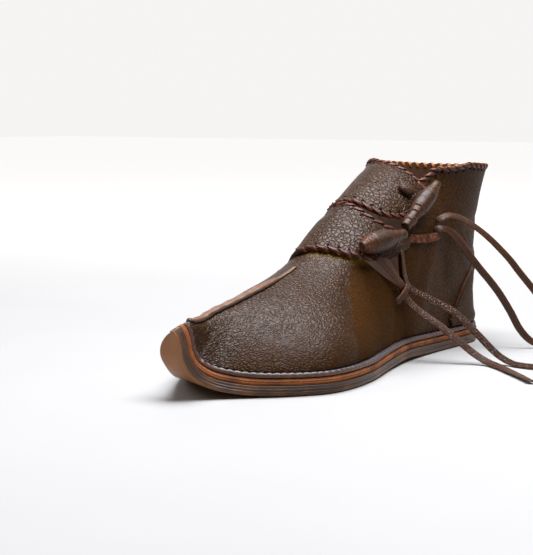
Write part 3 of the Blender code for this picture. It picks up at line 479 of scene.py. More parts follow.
# Strip of the vamp under the lower flap's edge painted tan, a painted yellowish reflection in the flap's
# shade, as start and reach in rows and shares
PAINTED_REFLECTION_ROWS, PAINTED_REFLECTION_START, PAINTED_REFLECTION_END = (-0.32, 0.20), (-0.05, 0.08), (0.50, -0.06)
# How coarse the grain is: least, how much more, and where it grows, forward in millimetres or in shares
WALL_PEBBLE, FLAP_PEBBLE, PEBBLE_GAIN = 0.30, 0.45, 0.55
WALL_COARSER, FLAP_COARSER = (125.0, -40.0), (FLAP_ROOT, 0.25)


def read(pairs, at):
    """Second value of a list of pairs at a given first value, straight between the pairs."""
    first, second = zip(*pairs)
    return np.interp(at, first, second)


def unit(vectors):
    """Vectors brought to a length of one."""
    return vectors / np.linalg.norm(vectors, axis=-1, keepdims=True)


def section_rows():
    """The last's table in metres: top, back of the heel, the curve's handles, sole station and slant."""
    heel = sum(sole_edge(0.0, side, FEATHER_INSET, UPPER_FOOT)[0] for side in (1, -1)) / 2
    rows = []
    for values in LAST:
        row = dict(zip(LAST_COLUMNS, values))
        top = MM * np.array([row["top_forward"], row["swing"], row["top_up"]])
        behind = MM * np.array([row["back_forward"], row["swing"], row["back_up"]])
        handles = MM * np.array([row["climb"], row["lean"], row["spread"], row["drop"]])
        behind = heel if row["foot"] >= 0 else behind
        rows.append(np.concatenate([top, behind, handles, [row["foot"], row["slant"]]]))
    return np.array(rows)


SECTIONS = section_rows()


def section_surface(row, across):
    """Points on the sections' curves at rows of the last and shares across it."""
    shape, row, across = row.shape, row.reshape(-1), across.reshape(-1, 1)
    values = blend(SECTIONS, row)
    top = values[:, 0:3]
    station = np.clip(values[:, 10], 0.0, TIP_STATION)
    on_sole = (row < SEAM_ROW - 1e-6)[:, None]
    outer, inner = (np.where(on_sole, sole_edge(station, side, FEATHER_INSET, UPPER_FOOT), values[:, 3:6])
                    for side in (1, -1))
    climb, lean, spread, drop = (values[:, k:k + 1] for k in range(6, 10))
    side = np.where(across >= 0, 1.0, -1.0)
    foot = np.where(side > 0, outer, inner)
    stand = unit((top - (outer + inner) / 2) * np.array([1.0, 0.0, 1.0]))
    climbing = stand * values[:, 11:12] + np.array([0.0, 0.0, 1.0]) * (1.0 - values[:, 11:12])
    sideways = side * np.array([0.0, 1.0, 0.0])
    low, high = foot + climbing * climb + sideways * lean, top - stand * drop + sideways * spread
    share = 1.0 - np.abs(across)
    rest = 1.0 - share
    points = rest**3 * foot + 3 * rest**2 * share * low + 3 * rest * share**2 * high + share**3 * top
    return points.reshape(*shape, 3)


def last_surface(row, across):
    """Outside of the upper at rows of the last and shares across it, eased where the heel turns up."""
    row, across = np.broadcast_arrays(np.asarray(row, float), np.asarray(across, float))
    reach = EASE_ROWS * np.exp(-((row - SEAM_ROW) / EASE_SPREAD) ** 2)
    reach = reach * ramp(np.abs(across), 1.0, -EASE_EDGE)
    weights = (1, 6, 15, 20, 15, 6, 1)
    points = 0.0
    for step, weight in zip(range(-3, 4), weights):
        near = np.clip(row + reach * step, 0.0, COLLAR_ROW)
        points = points + section_surface(near, across) * weight / sum(weights)
    return points


def last_normal(row, across):
    """Directions square to the last's surface and out of the boot."""
    row, across = np.broadcast_arrays(np.asarray(row, float), np.asarray(across, float))
    step = 0.01
    low, high = np.maximum(row - step, 0.0), np.minimum(row + step, COLLAR_ROW)
    near, far = np.maximum(across - step, -1.0), np.minimum(across + step, 1.0)
    lengthwise = last_surface(high, across) - last_surface(low, across)
    crosswise = last_surface(row, far) - last_surface(row, near)
    return unit(np.cross(crosswise, lengthwise))


def folded(points):
    """Height of the worked-in folds at points of the leather."""
    height = np.zeros(points.shape[:-1])
    for side, start_forward, start_up, end_forward, end_up, swell, spread in FOLDS:
        start = MM * np.array([start_forward, start_up])
        reach = MM * np.array([end_forward, end_up]) - start
        offset = points[..., [0, 2]] - start
        share = np.clip(offset @ reach / (reach @ reach), 0.0, 1.0)
        away = np.linalg.norm(offset - share[..., None] * reach, axis=-1)
        on_side = ramp(side * points[..., 1], 0.0, FOLD_SIDE)
        height += swell * MM * np.exp(-(away / (spread * MM)) ** 2) * on_side
    return height


def lifted(row, across, height):
    """Points at a height above the upper's outside, with its folds."""
    points = last_surface(row, across)
    return points + last_normal(row, across) * (np.asarray(height, float) + folded(points))[..., None]


def upper_grid():
    """Rows and shares of the upper's wall, with the columns and rows that lie on its cut lines."""
    inner_columns, throat_columns, outer_columns = 60, 50, 44
    vamp_rows, band_rows, lower_rows, upper_rows = 104, 30, 60, 44
    low = THROAT_CORNER[1]
    seam_share = (SEAM_ROW - FLAP_SPLIT) / (COLLAR_ROW - FLAP_SPLIT)
    upward = np.concatenate([np.linspace(0, seam_share, lower_rows + 1),
                             np.linspace(seam_share, 1, upper_rows + 1)[1:]])

    def column_rows(edge, top):
        return np.concatenate([np.linspace(0, edge, vamp_rows + 1),
                               np.linspace(edge + LAP_STEP, FLAP_SPLIT, band_rows),
                               FLAP_SPLIT + (top - FLAP_SPLIT) * upward[1:]])

    cut_rows = column_rows(THROAT_CORNER[0], read(COLLAR_EDGE, QUARTER_EDGE[-2][1]))
    cut_share = np.where(cut_rows > THROAT_CORNER[0], read(QUARTER_EDGE, cut_rows), low)
    rows, shares = [], []
    for j in range(inner_columns + throat_columns + outer_columns + 1):
        if j <= inner_columns:
            share = np.full(len(cut_rows), -1 + (FLAP_ROOT + 1) * j / inner_columns)
        elif j <= inner_columns + throat_columns:
            part = (j - inner_columns) / throat_columns
            share = FLAP_ROOT + (np.where(cut_rows > THROAT_CORNER[0], low, cut_share) - FLAP_ROOT) * part
        else:
            part = (j - inner_columns - throat_columns) / outer_columns
            share = cut_share + (1 - cut_share) * part
        if j == inner_columns + throat_columns:
            share = cut_share
        top = COLLAR_ROW if share[-1] <= FLAP_ROOT + 1e-9 else read(COLLAR_EDGE, share[-1])
        rows.append(column_rows(read(VAMP_EDGE, share[0]), top))
        shares.append(share)
    keep = np.ones((len(cut_rows) - 1, len(rows) - 1), bool)
    keep[vamp_rows:, inner_columns:inner_columns + throat_columns] = False
    return np.array(rows).T, np.array(shares).T, keep, inner_columns, vamp_rows, band_rows


def flap_height(share):
    """How high a flap's outside stands over the upper's, from its root outwards."""
    risen = ramp(share, FLAP_ROOT, FLAP_RISEN - FLAP_ROOT)
    return FLAP_RISE * risen**2 * (3 - 2 * risen)


def flap_grid(flap, columns, cells):
    """Rows, shares and heights of a flap from its root to its free end, puffed up a little across."""
    share, low, high = blend(flap, np.linspace(0, len(flap) - 1, columns + 1)).T
    across = np.linspace(0, 1, cells + 1)[:, None]
    rows = low + (high - low) * across
    height = flap_height(share)
    puff = FLAP_PUFF * np.sin(np.pi * across) * height / FLAP_RISE
    return rows, np.broadcast_to(share, rows.shape), height + puff


def pick(*pieces):
    """Selects these pieces alone and makes the first of them active."""
    bpy.ops.object.select_all(action="DESELECT")
    for piece in pieces:
        piece.select_set(True)
    bpy.context.view_layer.objects.active = pieces[0]


def joined(name, sheets):
    """Sheets made one piece, with the edges that they share merged and all faces outwards."""
    pick(*sheets)
    bpy.ops.object.join()
    piece = sheets[0]
    piece.name = piece.data.name = name
    bpy.ops.object.mode_set(mode="EDIT")
    bpy.ops.mesh.select_all(action="SELECT")
    bpy.ops.mesh.remove_doubles(threshold=2e-5)
    face_outwards()
    return piece


def finish_wall(piece, thickness, rounding):
    """Gives a sheet its thickness inwards, with its own slots for the cut rim and the far side, and rounds
    the cut."""
    pick(piece)
    wall = piece.modifiers.new("wall", "SOLIDIFY")
    wall.thickness = thickness
    wall.offset = -1.0
    wall.use_even_offset = False
    wall.material_offset = 2
    wall.material_offset_rim = 1
    bpy.ops.object.modifier_apply(modifier="wall")
    soften = piece.modifiers.new("soften", "BEVEL")
    soften.width = rounding
    soften.segments = 2
    soften.limit_method = "ANGLE"
    soften.angle_limit = CUT_ANGLE
    bpy.ops.object.modifier_apply(modifier="soften")
    bpy.ops.object.shade_smooth()


def polished(points):
    """How far the hide is rubbed smooth and dull, from 0 to 1: most on the outer quarter, half at the heel
    and along the foot."""
    forward, outward, up = np.moveaxis(points / MM, -1, 0)
    quarter = REAR_DEPTH * ramp(forward, *RUB_REAR) + (1 - REAR_DEPTH) * ramp(forward, *RUB_FRONT)
    quarter = quarter * ramp(forward - read(POLISHED_EDGE, up), *RUB_BORDER) * ramp(up, *RUB_TOP)
    half = HALF_DEPTH * np.maximum(ramp(forward, *RUB_HEEL), ramp(up, *RUB_FOOT))
    return ramp(outward, *RUB_OUTER) * np.maximum(quarter, half)


rows, shares, keep, root, vamp_rows, band_rows = upper_grid()
outside = last_surface(rows, shares)
lapping = ramp(rows, rows[vamp_rows] - LAP_ROWS, LAP_ROWS) ** 2
lapping *= (np.arange(len(rows)) <= vamp_rows)[:, None]
height = LAP_RISE * lapping * ramp(shares, FLAP_ROOT, -LAP_FADE)
feet = last_surface(rows, np.sign(shares + 1e-9))
station = np.clip(blend(SECTIONS, rows.reshape(-1))[:, 10], 0, TIP_STATION).reshape(rows.shape)
stitch_run = np.interp(np.where(shares > 0, station, 2 * TIP_STATION - station), unrolled, run)
pucker = np.abs(np.sin(np.pi * stitch_run / STITCH_PITCH)) - PUCKER_DIP
pucker *= np.exp(-(np.linalg.norm(outside - feet, axis=-1) / PUCKER_REACH) ** 2) * (rows < PUCKER_END)
wall_points = lifted(rows, shares, height + PUCKER * pucker)
# Painted reflection: a tan strip along the vamp just under the lower flap's edge stands for yellowish light
# in the flap's shade.
bared = ramp(rows - read(LOWER_FLAP[:, :2], shares), *PAINTED_REFLECTION_ROWS) * (rows < THROAT_CORNER[0])
bared *= ramp(shares, *PAINTED_REFLECTION_START) * ramp(shares, *PAINTED_REFLECTION_END)
pebble = WALL_PEBBLE + PEBBLE_GAIN * ramp(wall_points[..., 0] / MM, *WALL_COARSER)
upper_sheets = [shaped_grid("upper_wall", wall_points, keep, polish=polished(wall_points), pebble=pebble,
                            bared=bared)]
split = vamp_rows + band_rows
for flap, first, final in ((LOWER_FLAP, vamp_rows, split), (UPPER_FLAP, split, rows.shape[0] - 1)):
    flap_rows, flap_shares, heights = flap_grid(flap, FLAP_COLUMNS, final - first)
    flap_rows[:, 0] = rows[first:final + 1, root]
    flap_points = lifted(flap_rows, flap_shares, heights)
    flap_points[:, 0] = wall_points[first:final + 1, root]
    pebble = FLAP_PEBBLE + PEBBLE_GAIN * ramp(flap_shares, *FLAP_COARSER)
    upper_sheets.append(shaped_grid("flap", flap_points, polish=0.0, pebble=pebble))
upper = joined("upper_wall", upper_sheets)

# Boarded cowhide: a pebbled grain of under 3 mm, drawn out into wrinkles on the vamp, dark brown with a
# waxy low shine that turns grey in the light, and painted shade darkening the cracks between the pebbles.
# Yellower and nearly smooth where the quarter is rubbed.
GRAIN, WRINKLE = 2.6 * MM, 1.3 * MM
cowhide, node, place = new_material("boarded_cowhide", 0.40, Specular_IOR_Level=0.05, Coat_Roughness=0.38)
polish = node("Attribute", {}, "Fac", attribute_name="polish")
coarse = node("Attribute", {}, "Fac", attribute_name="pebble")
warp = node("TexNoise", {"Vector": place, "Scale": 1 / (5 * MM), "Detail": 2.0}, "Color")
warp = node("VectorMath", {0: warp, 1: (-0.5, -0.5, -0.5)}, operation="ADD")
warp = node("VectorMath", {0: warp, "Scale": 3.0 * MM}, operation="SCALE")
bent = node("VectorMath", {0: place, 1: warp}, operation="ADD")
pebble = node("TexVoronoi", {"Vector": bent, "Scale": 1 / GRAIN}, feature="DISTANCE_TO_EDGE")
pebble = node("MapRange", {"Value": pebble, 1: 0.0, 2: 0.22}, interpolation_type="SMOOTHSTEP")
drawn = node("Mapping", {"Vector": bent, "Rotation": (0.0, 0.22, 0.0), "Scale": (0.40, 0.8, 1.0)})
drawn = node("TexVoronoi", {"Vector": drawn, "Scale": 1 / WRINKLE}, feature="DISTANCE_TO_EDGE")
drawn = node("MapRange", {"Value": drawn, 1: 0.0, 2: 0.34}, interpolation_type="SMOOTHSTEP")
fine = node("TexNoise", {"Vector": place, "Scale": 1 / (1.1 * MM), "Detail": 3.0})
skin = node("Mix", {0: coarse, 2: drawn, 3: pebble})
blotch = node("TexNoise", {"Vector": place, "Scale": 1 / (38 * MM), "Detail": 4.0})
rubbed = node("Mix", {0: blotch, 6: "#321d05", 7: "#462a09"}, data_type="RGBA")
# Painted reflection: the tan strip under the lower flap's edge stands for the yellowish light in the flap's
# shade.
bared = node("Attribute", {}, "Fac", attribute_name="bared")
plain = node("MapRange", {"Value": polish, 3: 1.0, 4: 0.6})
# Painted shade: the cracks between the pebbles are darkened as if shade lay in them, less where the hide is
# rubbed.
crack_shade = node("MapRange", {"Value": skin, 1: 0.0, 2: 0.8, 3: 0.8, 4: 0.0})
crack_shade = node("Math", {0: crack_shade, 1: plain}, operation="MULTIPLY")
dull = node("MapRange", {"Value": polish, 3: 0.40, 4: 0.75})
gloss = node("MapRange", {"Value": polish, 1: 0.0, 2: 0.8, 3: 0.36, 4: 0.0})
surface(cowhide, "#2f1b0b",
        [(blotch, "#482d14"), (polish, rubbed), (bared, "#6f5320"), (crack_shade, "#120a06")],
        [(fine, 0.35, 0.2), (skin, plain, 0.32)], Roughness=dull, Coat_Weight=gloss)

# Stained cut edge: the rim of the hide dyed red-brown and rubbed with wax, rough and nearly matt.
stained_edge, node, place = new_material("stained_cut_edge", 0.62, Specular_IOR_Level=0.35)
fibre = node("TexNoise", {"Vector": place, "Scale": 1 / (1.5 * MM), "Detail": 4.0})
surface(stained_edge, "#20110b", [(fibre, "#59301d")], [(fibre, 0.5, 0.3)])
for each in (cowhide, stained_edge, flesh_side):
    upper.data.materials.append(each)
finish_wall(upper, WALL, WALL_ROUNDING)
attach(upper, "root")
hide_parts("upper")

# Heel counter: a three-cornered patch of the same hide lapped over the back of the heel to stiffen it,
# sewn down along its skived edge.
COUNTER_THICK, COUNTER_GAP, COUNTER_ROUNDING = 1.6 * MM, 0.6 * MM, 0.5 * MM
COUNTER_RUB, COUNTER_PEBBLE = 0.5, 0.6
COUNTER_TOP = MM * np.array([(-6.0, 74.5), (0.0, 71.0), (8.0, 65.0), (20.0, 56.0), (32.0, 48.5),
                             (44.0, 39.5), (52.0, 28.0), (62.0, 13.0)])
COUNTER_FOOT, COUNTER_CREST = 0.985, 0.3
SKIVED_EDGE, SKIVED_RISE = 0.45, 3.0
COUNTER_ROWS = (9.95, 15.48)
COUNTER_CELLS = 30


def counter_edge(row, side):
    """Share across the last at which a section passes the counter's upper edge."""
    shares = np.linspace(COUNTER_FOOT, COUNTER_CREST, 138)
    points = last_surface(np.full(shares.shape, row), side * shares)
    above = points[:, 2] - np.interp(points[:, 0], COUNTER_TOP[:, 0], COUNTER_TOP[:, 1])
    passed = np.argmax(above > 0) + 1
    return max(np.interp(0.0, above[:passed], shares[:passed]), COUNTER_CREST)


counter_rows = np.concatenate([np.linspace(COUNTER_ROWS[0], SEAM_ROW, 60),
                               np.linspace(SEAM_ROW, COUNTER_ROWS[1], 50)[1:]])
foot = np.where(counter_rows < SEAM_ROW, COUNTER_FOOT, 1.0)
outward = np.linspace(0, 1, COUNTER_CELLS + 1)[None, :]
counter_grid = np.broadcast_to(counter_rows[:, None], (len(counter_rows), COUNTER_CELLS + 1))
counter_tops = {side: np.array([counter_edge(row, side) for row in counter_rows]) for side in (1, -1)}
halves = []
for side, top_share in counter_tops.items():
    share = side * (top_share[:, None] + (foot - top_share)[:, None] * outward)
    skived = COUNTER_GAP + COUNTER_THICK * np.clip(SKIVED_EDGE + outward * SKIVED_RISE, 0, 1)
    points = lifted(counter_grid, share, np.broadcast_to(skived, share.shape))
    halves.append(shaped_grid("counter_half", points, polish=COUNTER_RUB, pebble=COUNTER_PEBBLE))
counter = joined("heel_counter_patch", halves)
for each in (cowhide, stained_edge, flesh_side):
    counter.data.materials.append(each)
finish_wall(counter, COUNTER_THICK, COUNTER_ROUNDING)
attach(counter, "root")
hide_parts("heel_counter")

# Vamp seam: the two halves of the vamp pinched up along the middle and sewn edge to edge, so that their
# cut edges stand as a low double ridge that dies away towards the throat.
SEAM_ROWS = (0.15, 6.2)
SEAM_FADE, SEAM_TAPER = 0.45, 1.5
SEAM_SWELL, SEAM_WAVES = 0.06, 9.0
SEAM_SECTION = (
    # outward, up, how raw it is
    (-3.1, 0.1, 0.0), (-2.75, 0.9, 0.0), (-2.4, 1.6, 0.2), (-1.8, 2.15, 0.8), (-1.2, 2.3, 1.0),
    (-0.6, 2.05, 0.9), (-0.15, 1.35, 0.2), (0.15, 1.35, 0.2), (0.6, 2.05, 0.9), (1.2, 2.3, 1.0),
    (1.8, 2.15, 0.8), (2.4, 1.6, 0.2), (2.75, 0.9, 0.0), (3.1, 0.1, 0.0), (1.5, 0.1, 0.0), (-1.5, 0.1, 0.0),
)
seam_rows = np.linspace(*SEAM_ROWS, 160)
fade = np.clip((SEAM_ROWS[1] - seam_rows) / SEAM_TAPER, SEAM_FADE, 1.0)
fade *= 1 + SEAM_SWELL * np.sin(seam_rows * SEAM_WAVES)
middle = last_surface(seam_rows, 0.0)
stand = unit(last_normal(seam_rows, 0.002) * np.array([1.0, 0.0, 1.0]))
sections = np.stack([middle + np.outer(fade * outward * MM, [0.0, 1.0, 0.0])
                     + stand * (fade * up * MM)[:, None] for outward, up, raw in SEAM_SECTION], axis=1)
raw = np.broadcast_to(np.array([raw for outward, up, raw in SEAM_SECTION]), sections.shape[:2])
vamp_seam = loft("vamp_seam_ridge", sections, raw=raw)

# Pinched seam leather: the same hide, with its cut edges rubbed to a paler red-brown along the ridge.
material, node, place = new_material("pinched_seam_leather", 0.45, Specular_IOR_Level=0.45)
rawness = node("Attribute", {}, "Fac", attribute_name="raw")
streak = node("Mapping", {"Vector": place, "Scale": (0.25, 1.0, 1.0)})
streak = node("TexNoise", {"Vector": streak, "Scale": 1 / (1.6 * MM), "Detail": 4.0})
rubbed = node("Mix", {0: streak, 6: "#4b2c1b", 7: "#8c6248"}, data_type="RGBA")
surface(material, "#24170f", [(streak, "#46301f"), (rawness, rubbed)], [(streak, 0.5, 0.4)])
vamp_seam.data.materials.append(material)
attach(vamp_seam, "root")
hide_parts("vamp_seam")

# Lacing: a narrow red-brown leather lace whipped over the cut edges of the collar and the flaps, through
# holes punched nearly 4 mm from the edge. Inside the boot its paler flesh side shows.
LACE_WIDTH, LACE_THICK, LACE_START = 2.0 * MM, 0.6 * MM, 0.4
LACE_TURN = np.array([
    # share of the pitch, inwards from the edge, out of the leather's face, how much flesh side shows
    (0.00, 2.6, -0.5, 0.0), (0.05, 2.3, 0.25, 0.0), (0.25, 1.3, 0.42, 0.0), (0.55, 0.45, 0.44, 0.0),
    (0.78, -0.15, 0.16, 0.0), (0.84, -0.45, -0.7, 0.1), (0.88, -0.4, -1.6, 0.5), (0.92, 0.1, -2.4, 1.0),
    (0.96, 1.2, -2.6, 1.0), (1.00, 2.6, -2.55, 1.0), (1.02, 3.0, -2.0, 1.0),
])
COLLAR_PITCH, FLAP_PITCH = 6.0 * MM, 7.6 * MM
COLLAR_PLACES, INWARD_ROWS, END_ON = 300, 0.08, 0.05
STRIP_SECTION = np.array([
    # share of the width, share of the thickness
    (-0.5, -0.15), (-0.40, -0.5), (0.0, -0.5), (0.40, -0.5), (0.5, -0.15), (0.5, 0.2), (0.40, 0.5),
    (0.0, 0.56), (-0.40, 0.5), (-0.5, 0.2),
])


def places_along(rows, shares, heights, pitch, into):
    """Places at even steps along a line on the upper, with their directions along, inwards and out."""
    points = lifted(rows, shares, heights)
    outward = last_normal(rows, shares)
    inner = lifted(np.clip(rows + INWARD_ROWS * into, 0, COLLAR_ROW), shares, heights) - points
    run = run_along(points)
    count = round(run[-1] / pitch)
    steps = (np.arange(count) + 0.5) * run[-1] / count

    def at(values):
        return np.stack([np.interp(steps, run, values[:, k]) for k in range(3)], axis=1)

    along = unit(at(np.gradient(points, axis=0)))
    outward = at(outward)
    outward = unit(outward - along * np.sum(along * outward, axis=1, keepdims=True))
    inward = np.cross(outward, along)
    inward *= np.sign(np.sum(inward * at(inner), axis=1, keepdims=True))
    return at(points), np.stack([along, inward, outward], axis=1)


def small_strip(path, width, thickness):
    """Points, in along, inwards and out, of a short strip that goes round an edge, broad side to it."""
    ahead = unit(np.gradient(path, axis=0))
    face = np.stack([np.zeros(len(path)), ahead[:, 2], -ahead[:, 1]], axis=1)
    face = np.where(np.linalg.norm(face, axis=1, keepdims=True) < END_ON, [0.0, 0.0, 1.0], face)
    face = unit(face - ahead * np.sum(ahead * face, axis=1, keepdims=True))
    broad = np.cross(ahead, face)
    return (path[:, None, :] + broad[:, None, :] * (STRIP_SECTION[None, :, :1] * width)
            + face[:, None, :] * (STRIP_SECTION[None, :, 1:] * thickness))


def repeated(name, places, units, **values):
    """One mesh of a small tube set at every place, its ends closed. Units holds its rings of points."""
    origins, axes = places
    rings, sides = units.shape[-3:-1]
    units = np.broadcast_to(units, (len(origins), rings, sides, 3))
    points = origins[:, None, None, :] + np.einsum("krsm,kmn->krsn", units, axes)
    ring, side = np.meshgrid(np.arange(rings - 1), np.arange(sides), indexing="ij")
    corner, turn = ring * sides + side, ring * sides + (side + 1) % sides
    quads = np.stack([corner, turn, turn + sides, corner + sides], axis=-1).reshape(-1, 4)
    faces = []
    for start in range(0, len(origins) * rings * sides, rings * sides):
        faces += (quads + start).tolist()
        far_end = start + (rings - 1) * sides
        faces += [list(range(start, start + sides)), list(range(far_end, far_end + sides))]
    mesh = bpy.data.meshes.new(name)
    mesh.from_pydata(placed(points.reshape(-1, 3)).tolist(), [], faces)
    point_values(mesh, points.shape[:3], values)
    piece = bpy.data.objects.new(name, mesh)
    bpy.context.scene.collection.objects.link(piece)
    pick(piece)
    face_outwards()
    bpy.ops.object.shade_smooth()
    return piece


def flap_line(flap, column, start, end):
    """Rows, shares and heights along one edge of a flap between two shares across the last."""
    share, edge = blend(flap, np.linspace(0, len(flap) - 1, 400))[:, [0, column]].T
    inside = (share >= start) & (share <= end)
    return edge[inside], share[inside], flap_height(share[inside])


back = np.linspace(FLAP_ROOT - 0.02, -1.0, COLLAR_PLACES)
front = np.linspace(1.0, 0.20, COLLAR_PLACES)
collar_shares = np.concatenate([back, front])
collar_rows = np.concatenate([np.full(back.shape, COLLAR_ROW), read(COLLAR_EDGE, front)])
laced = [
    (collar_rows, collar_shares, np.zeros(collar_rows.shape), COLLAR_PITCH, -1),
    (*flap_line(UPPER_FLAP, 2, -0.28, 0.25), COLLAR_PITCH, -1),
    (*flap_line(UPPER_FLAP, 1, -0.20, 0.33), FLAP_PITCH, 1),
    (*flap_line(LOWER_FLAP, 2, -0.14, 0.33), FLAP_PITCH, -1),
    (*flap_line(LOWER_FLAP, 1, -0.14, 0.46), FLAP_PITCH, 1),
]
lace_places = [places_along(*line) for line in laced]
lace_pitches = np.concatenate([np.full(len(places[0]), line[3])
                               for line, places in zip(laced, lace_places)])
lace_places = tuple(np.concatenate(parts) for parts in zip(*lace_places))
turns = []
for pitch in lace_pitches:
    path = MM * LACE_TURN[:, :3]
    path[:, 0] = (LACE_TURN[:, 0] - LACE_START) * pitch
    turns.append(small_strip(path, LACE_WIDTH, LACE_THICK))
lacing = repeated("edge_lacing", lace_places, np.array(turns), flesh=LACE_TURN[None, :, 3:4])

# Lace leather: dark red-brown and smooth on its grain side, orange and open on its flesh side.
material, node, place = new_material("lace_leather", 0.5, Specular_IOR_Level=0.4)
flesh = node("Attribute", {}, "Fac", attribute_name="flesh")
streak = node("TexNoise", {"Vector": place, "Scale": 1 / (2.5 * MM), "Detail": 4.0})
open_side = node("Mix", {0: streak, 6: "#7d4117", 7: "#c9802f"}, data_type="RGBA")
surface(material, "#220d07", [(streak, "#682f1a"), (flesh, open_side)], [(streak, 0.4, 0.3)])
lacing.data.materials.append(material)
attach(lacing, "root")

# Punched holes: dark discs laid on the leather a little ahead of each turn, painted shade that stands for
# the mouths of the holes that the lace goes through.
HOLE_RADIUS, HOLE_INSET, HOLE_AHEAD, HOLE_SIDES = 1.0, 3.7, 0.48, 12
HOLE_RINGS = np.array([
    # share of the radius, out of the leather's face
    (0.55, -0.4), (1.0, -0.4), (1.0, 0.05), (0.8, 0.08), (0.2, 0.08),
])
around = np.linspace(0, 2 * math.pi, HOLE_SIDES + 1)[:-1]
ring_radii = HOLE_RADIUS * HOLE_RINGS[:, 0]
hole_unit = MM * np.stack([np.outer(ring_radii, np.cos(around)),
                           np.outer(ring_radii, np.sin(around)) + HOLE_INSET,
                           np.repeat(HOLE_RINGS[:, 1:], HOLE_SIDES, axis=1)], axis=-1)
hole_unit = np.broadcast_to(hole_unit, (len(lace_pitches), *hole_unit.shape)).copy()
hole_unit[..., 0] -= HOLE_AHEAD * lace_pitches[:, None, None]
holes = repeated("painted_hole_shade", lace_places, hole_unit)

# Shadowed hole: painted shade for the mouth of a hole, nearly black brown and dull.
material, node, place = new_material("shadowed_hole", 0.9, Specular_IOR_Level=0.1)
fibre = node("TexNoise", {"Vector": place, "Scale": 1 / (0.6 * MM), "Detail": 2.0})
surface(material, "#080504", [(fibre, "#1a0f0a")])
holes.data.materials.append(material)
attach(holes, "root")

# Seam stitches: waxed brown thread that holds down the lap of the vamp on the inner side and both edges
# of the heel counter, in small even stitches.
THREAD = 0.75 * MM
SEAM_PITCH = 3.8 * MM
STITCH_ARC = np.array([
    # share of the pitch, inwards, out of the leather's face
    (-0.38, 0.0, -0.3), (-0.32, 0.0, 0.12), (-0.15, 0.0, 0.3), (0.15, 0.0, 0.3), (0.32, 0.0, 0.12),
    (0.38, 0.0, -0.3),
])
LAP_ENDS, LAP_INSET = (-0.97, FLAP_ROOT - 0.06), 0.17
PATCH_CLEAR, PATCH_INSET, PATCH_HEIGHT = 0.25, 0.1, COUNTER_GAP + COUNTER_THICK * 0.7
lap_shares = np.linspace(*LAP_ENDS, 200)
lap_rows = read(VAMP_EDGE, lap_shares) - LAP_INSET
sewn = [places_along(lap_rows, lap_shares, np.full(lap_rows.shape, LAP_RISE), SEAM_PITCH, -1)]
for side, top_share in counter_tops.items():
    inside = counter_rows < COUNTER_ROWS[1] - PATCH_CLEAR
    line = (top_share + (foot - top_share) * PATCH_INSET)[inside]
    sewn.append(places_along(counter_rows[inside], side * line, np.full(line.shape, PATCH_HEIGHT),
                             SEAM_PITCH, 1))
sewn = tuple(np.concatenate(parts) for parts in zip(*sewn))
stitch_path = STITCH_ARC * np.array([SEAM_PITCH, MM, MM])
stitches = repeated("seam_stitches", sewn, small_strip(stitch_path, THREAD, THREAD))

# Waxed thread: dark brown flax, its twist caught by the wax, dull but for the wax on its crown.
material, node, place = new_material("waxed_thread", 0.55, Specular_IOR_Level=0.4)
twist = node("TexWave", {"Vector": place, "Scale": 1 / (2.2 * MM), "Distortion": 2.0}, "Fac",
             bands_direction="DIAGONAL")
surface(material, "#1b110c", [(twist, "#4a3220")], [(twist, 0.5, 0.15)])
stitches.data.materials.append(material)
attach(stitches, "root")

# Toggles: strips of leather cut to a long taper and rolled up tight from the broad end, so that the
# edge of every turn runs round the roll as a step. The ends show the coil of the strip.
TOGGLES = {
    # ends of the axis, then the roll's outline as (share along, radius)
    "toggle_upper": ((82.0, 35.5, 107.9), (117.0, 33.0, 82.4), (
        (0.00, 2.2), (0.02, 2.7), (0.12, 3.2), (0.13, 3.7), (0.20, 4.1), (0.21, 4.7), (0.26, 4.9),
        (0.27, 5.4), (0.45, 5.7), (0.60, 5.5), (0.61, 4.6), (0.70, 4.4), (0.71, 3.6), (0.80, 3.5),
        (0.81, 4.1), (0.87, 4.1), (0.88, 3.4), (0.98, 3.2), (1.0, 2.7))),
    "toggle_lower": ((159.6, 29.0, 73.6), (122.4, 36.2, 78.9), (
        (0.00, 2.4), (0.02, 3.0), (0.05, 3.2), (0.06, 3.9), (0.09, 4.1), (0.10, 4.8), (0.14, 5.0),
        (0.15, 5.6), (0.22, 5.9), (0.23, 6.4), (0.45, 6.6), (0.56, 6.3), (0.57, 5.5), (0.67, 5.2),
        (0.68, 4.4), (0.80, 4.1), (0.81, 3.6), (0.97, 3.2), (1.0, 2.6))),
}
TOGGLE_SIDES, TOGGLE_RINGS = 48, 110
TURN_SLANT, SLANT_EASE = 0.025, 0.08
# Rub of the coiled ends, most rub of a turn's edge, the step in millimetres it takes, its reach
COIL_RUB, TURN_RUB, RUB_STEP, RUB_REACH = 0.35, 0.85, 0.9, 0.008
COIL_RADII = (0.15, 0.5, 0.85, 1.2, 1.55, 1.9, 2.25, 2.5)
COIL_PITCH, COIL_DEPTH = 1.05, 0.022


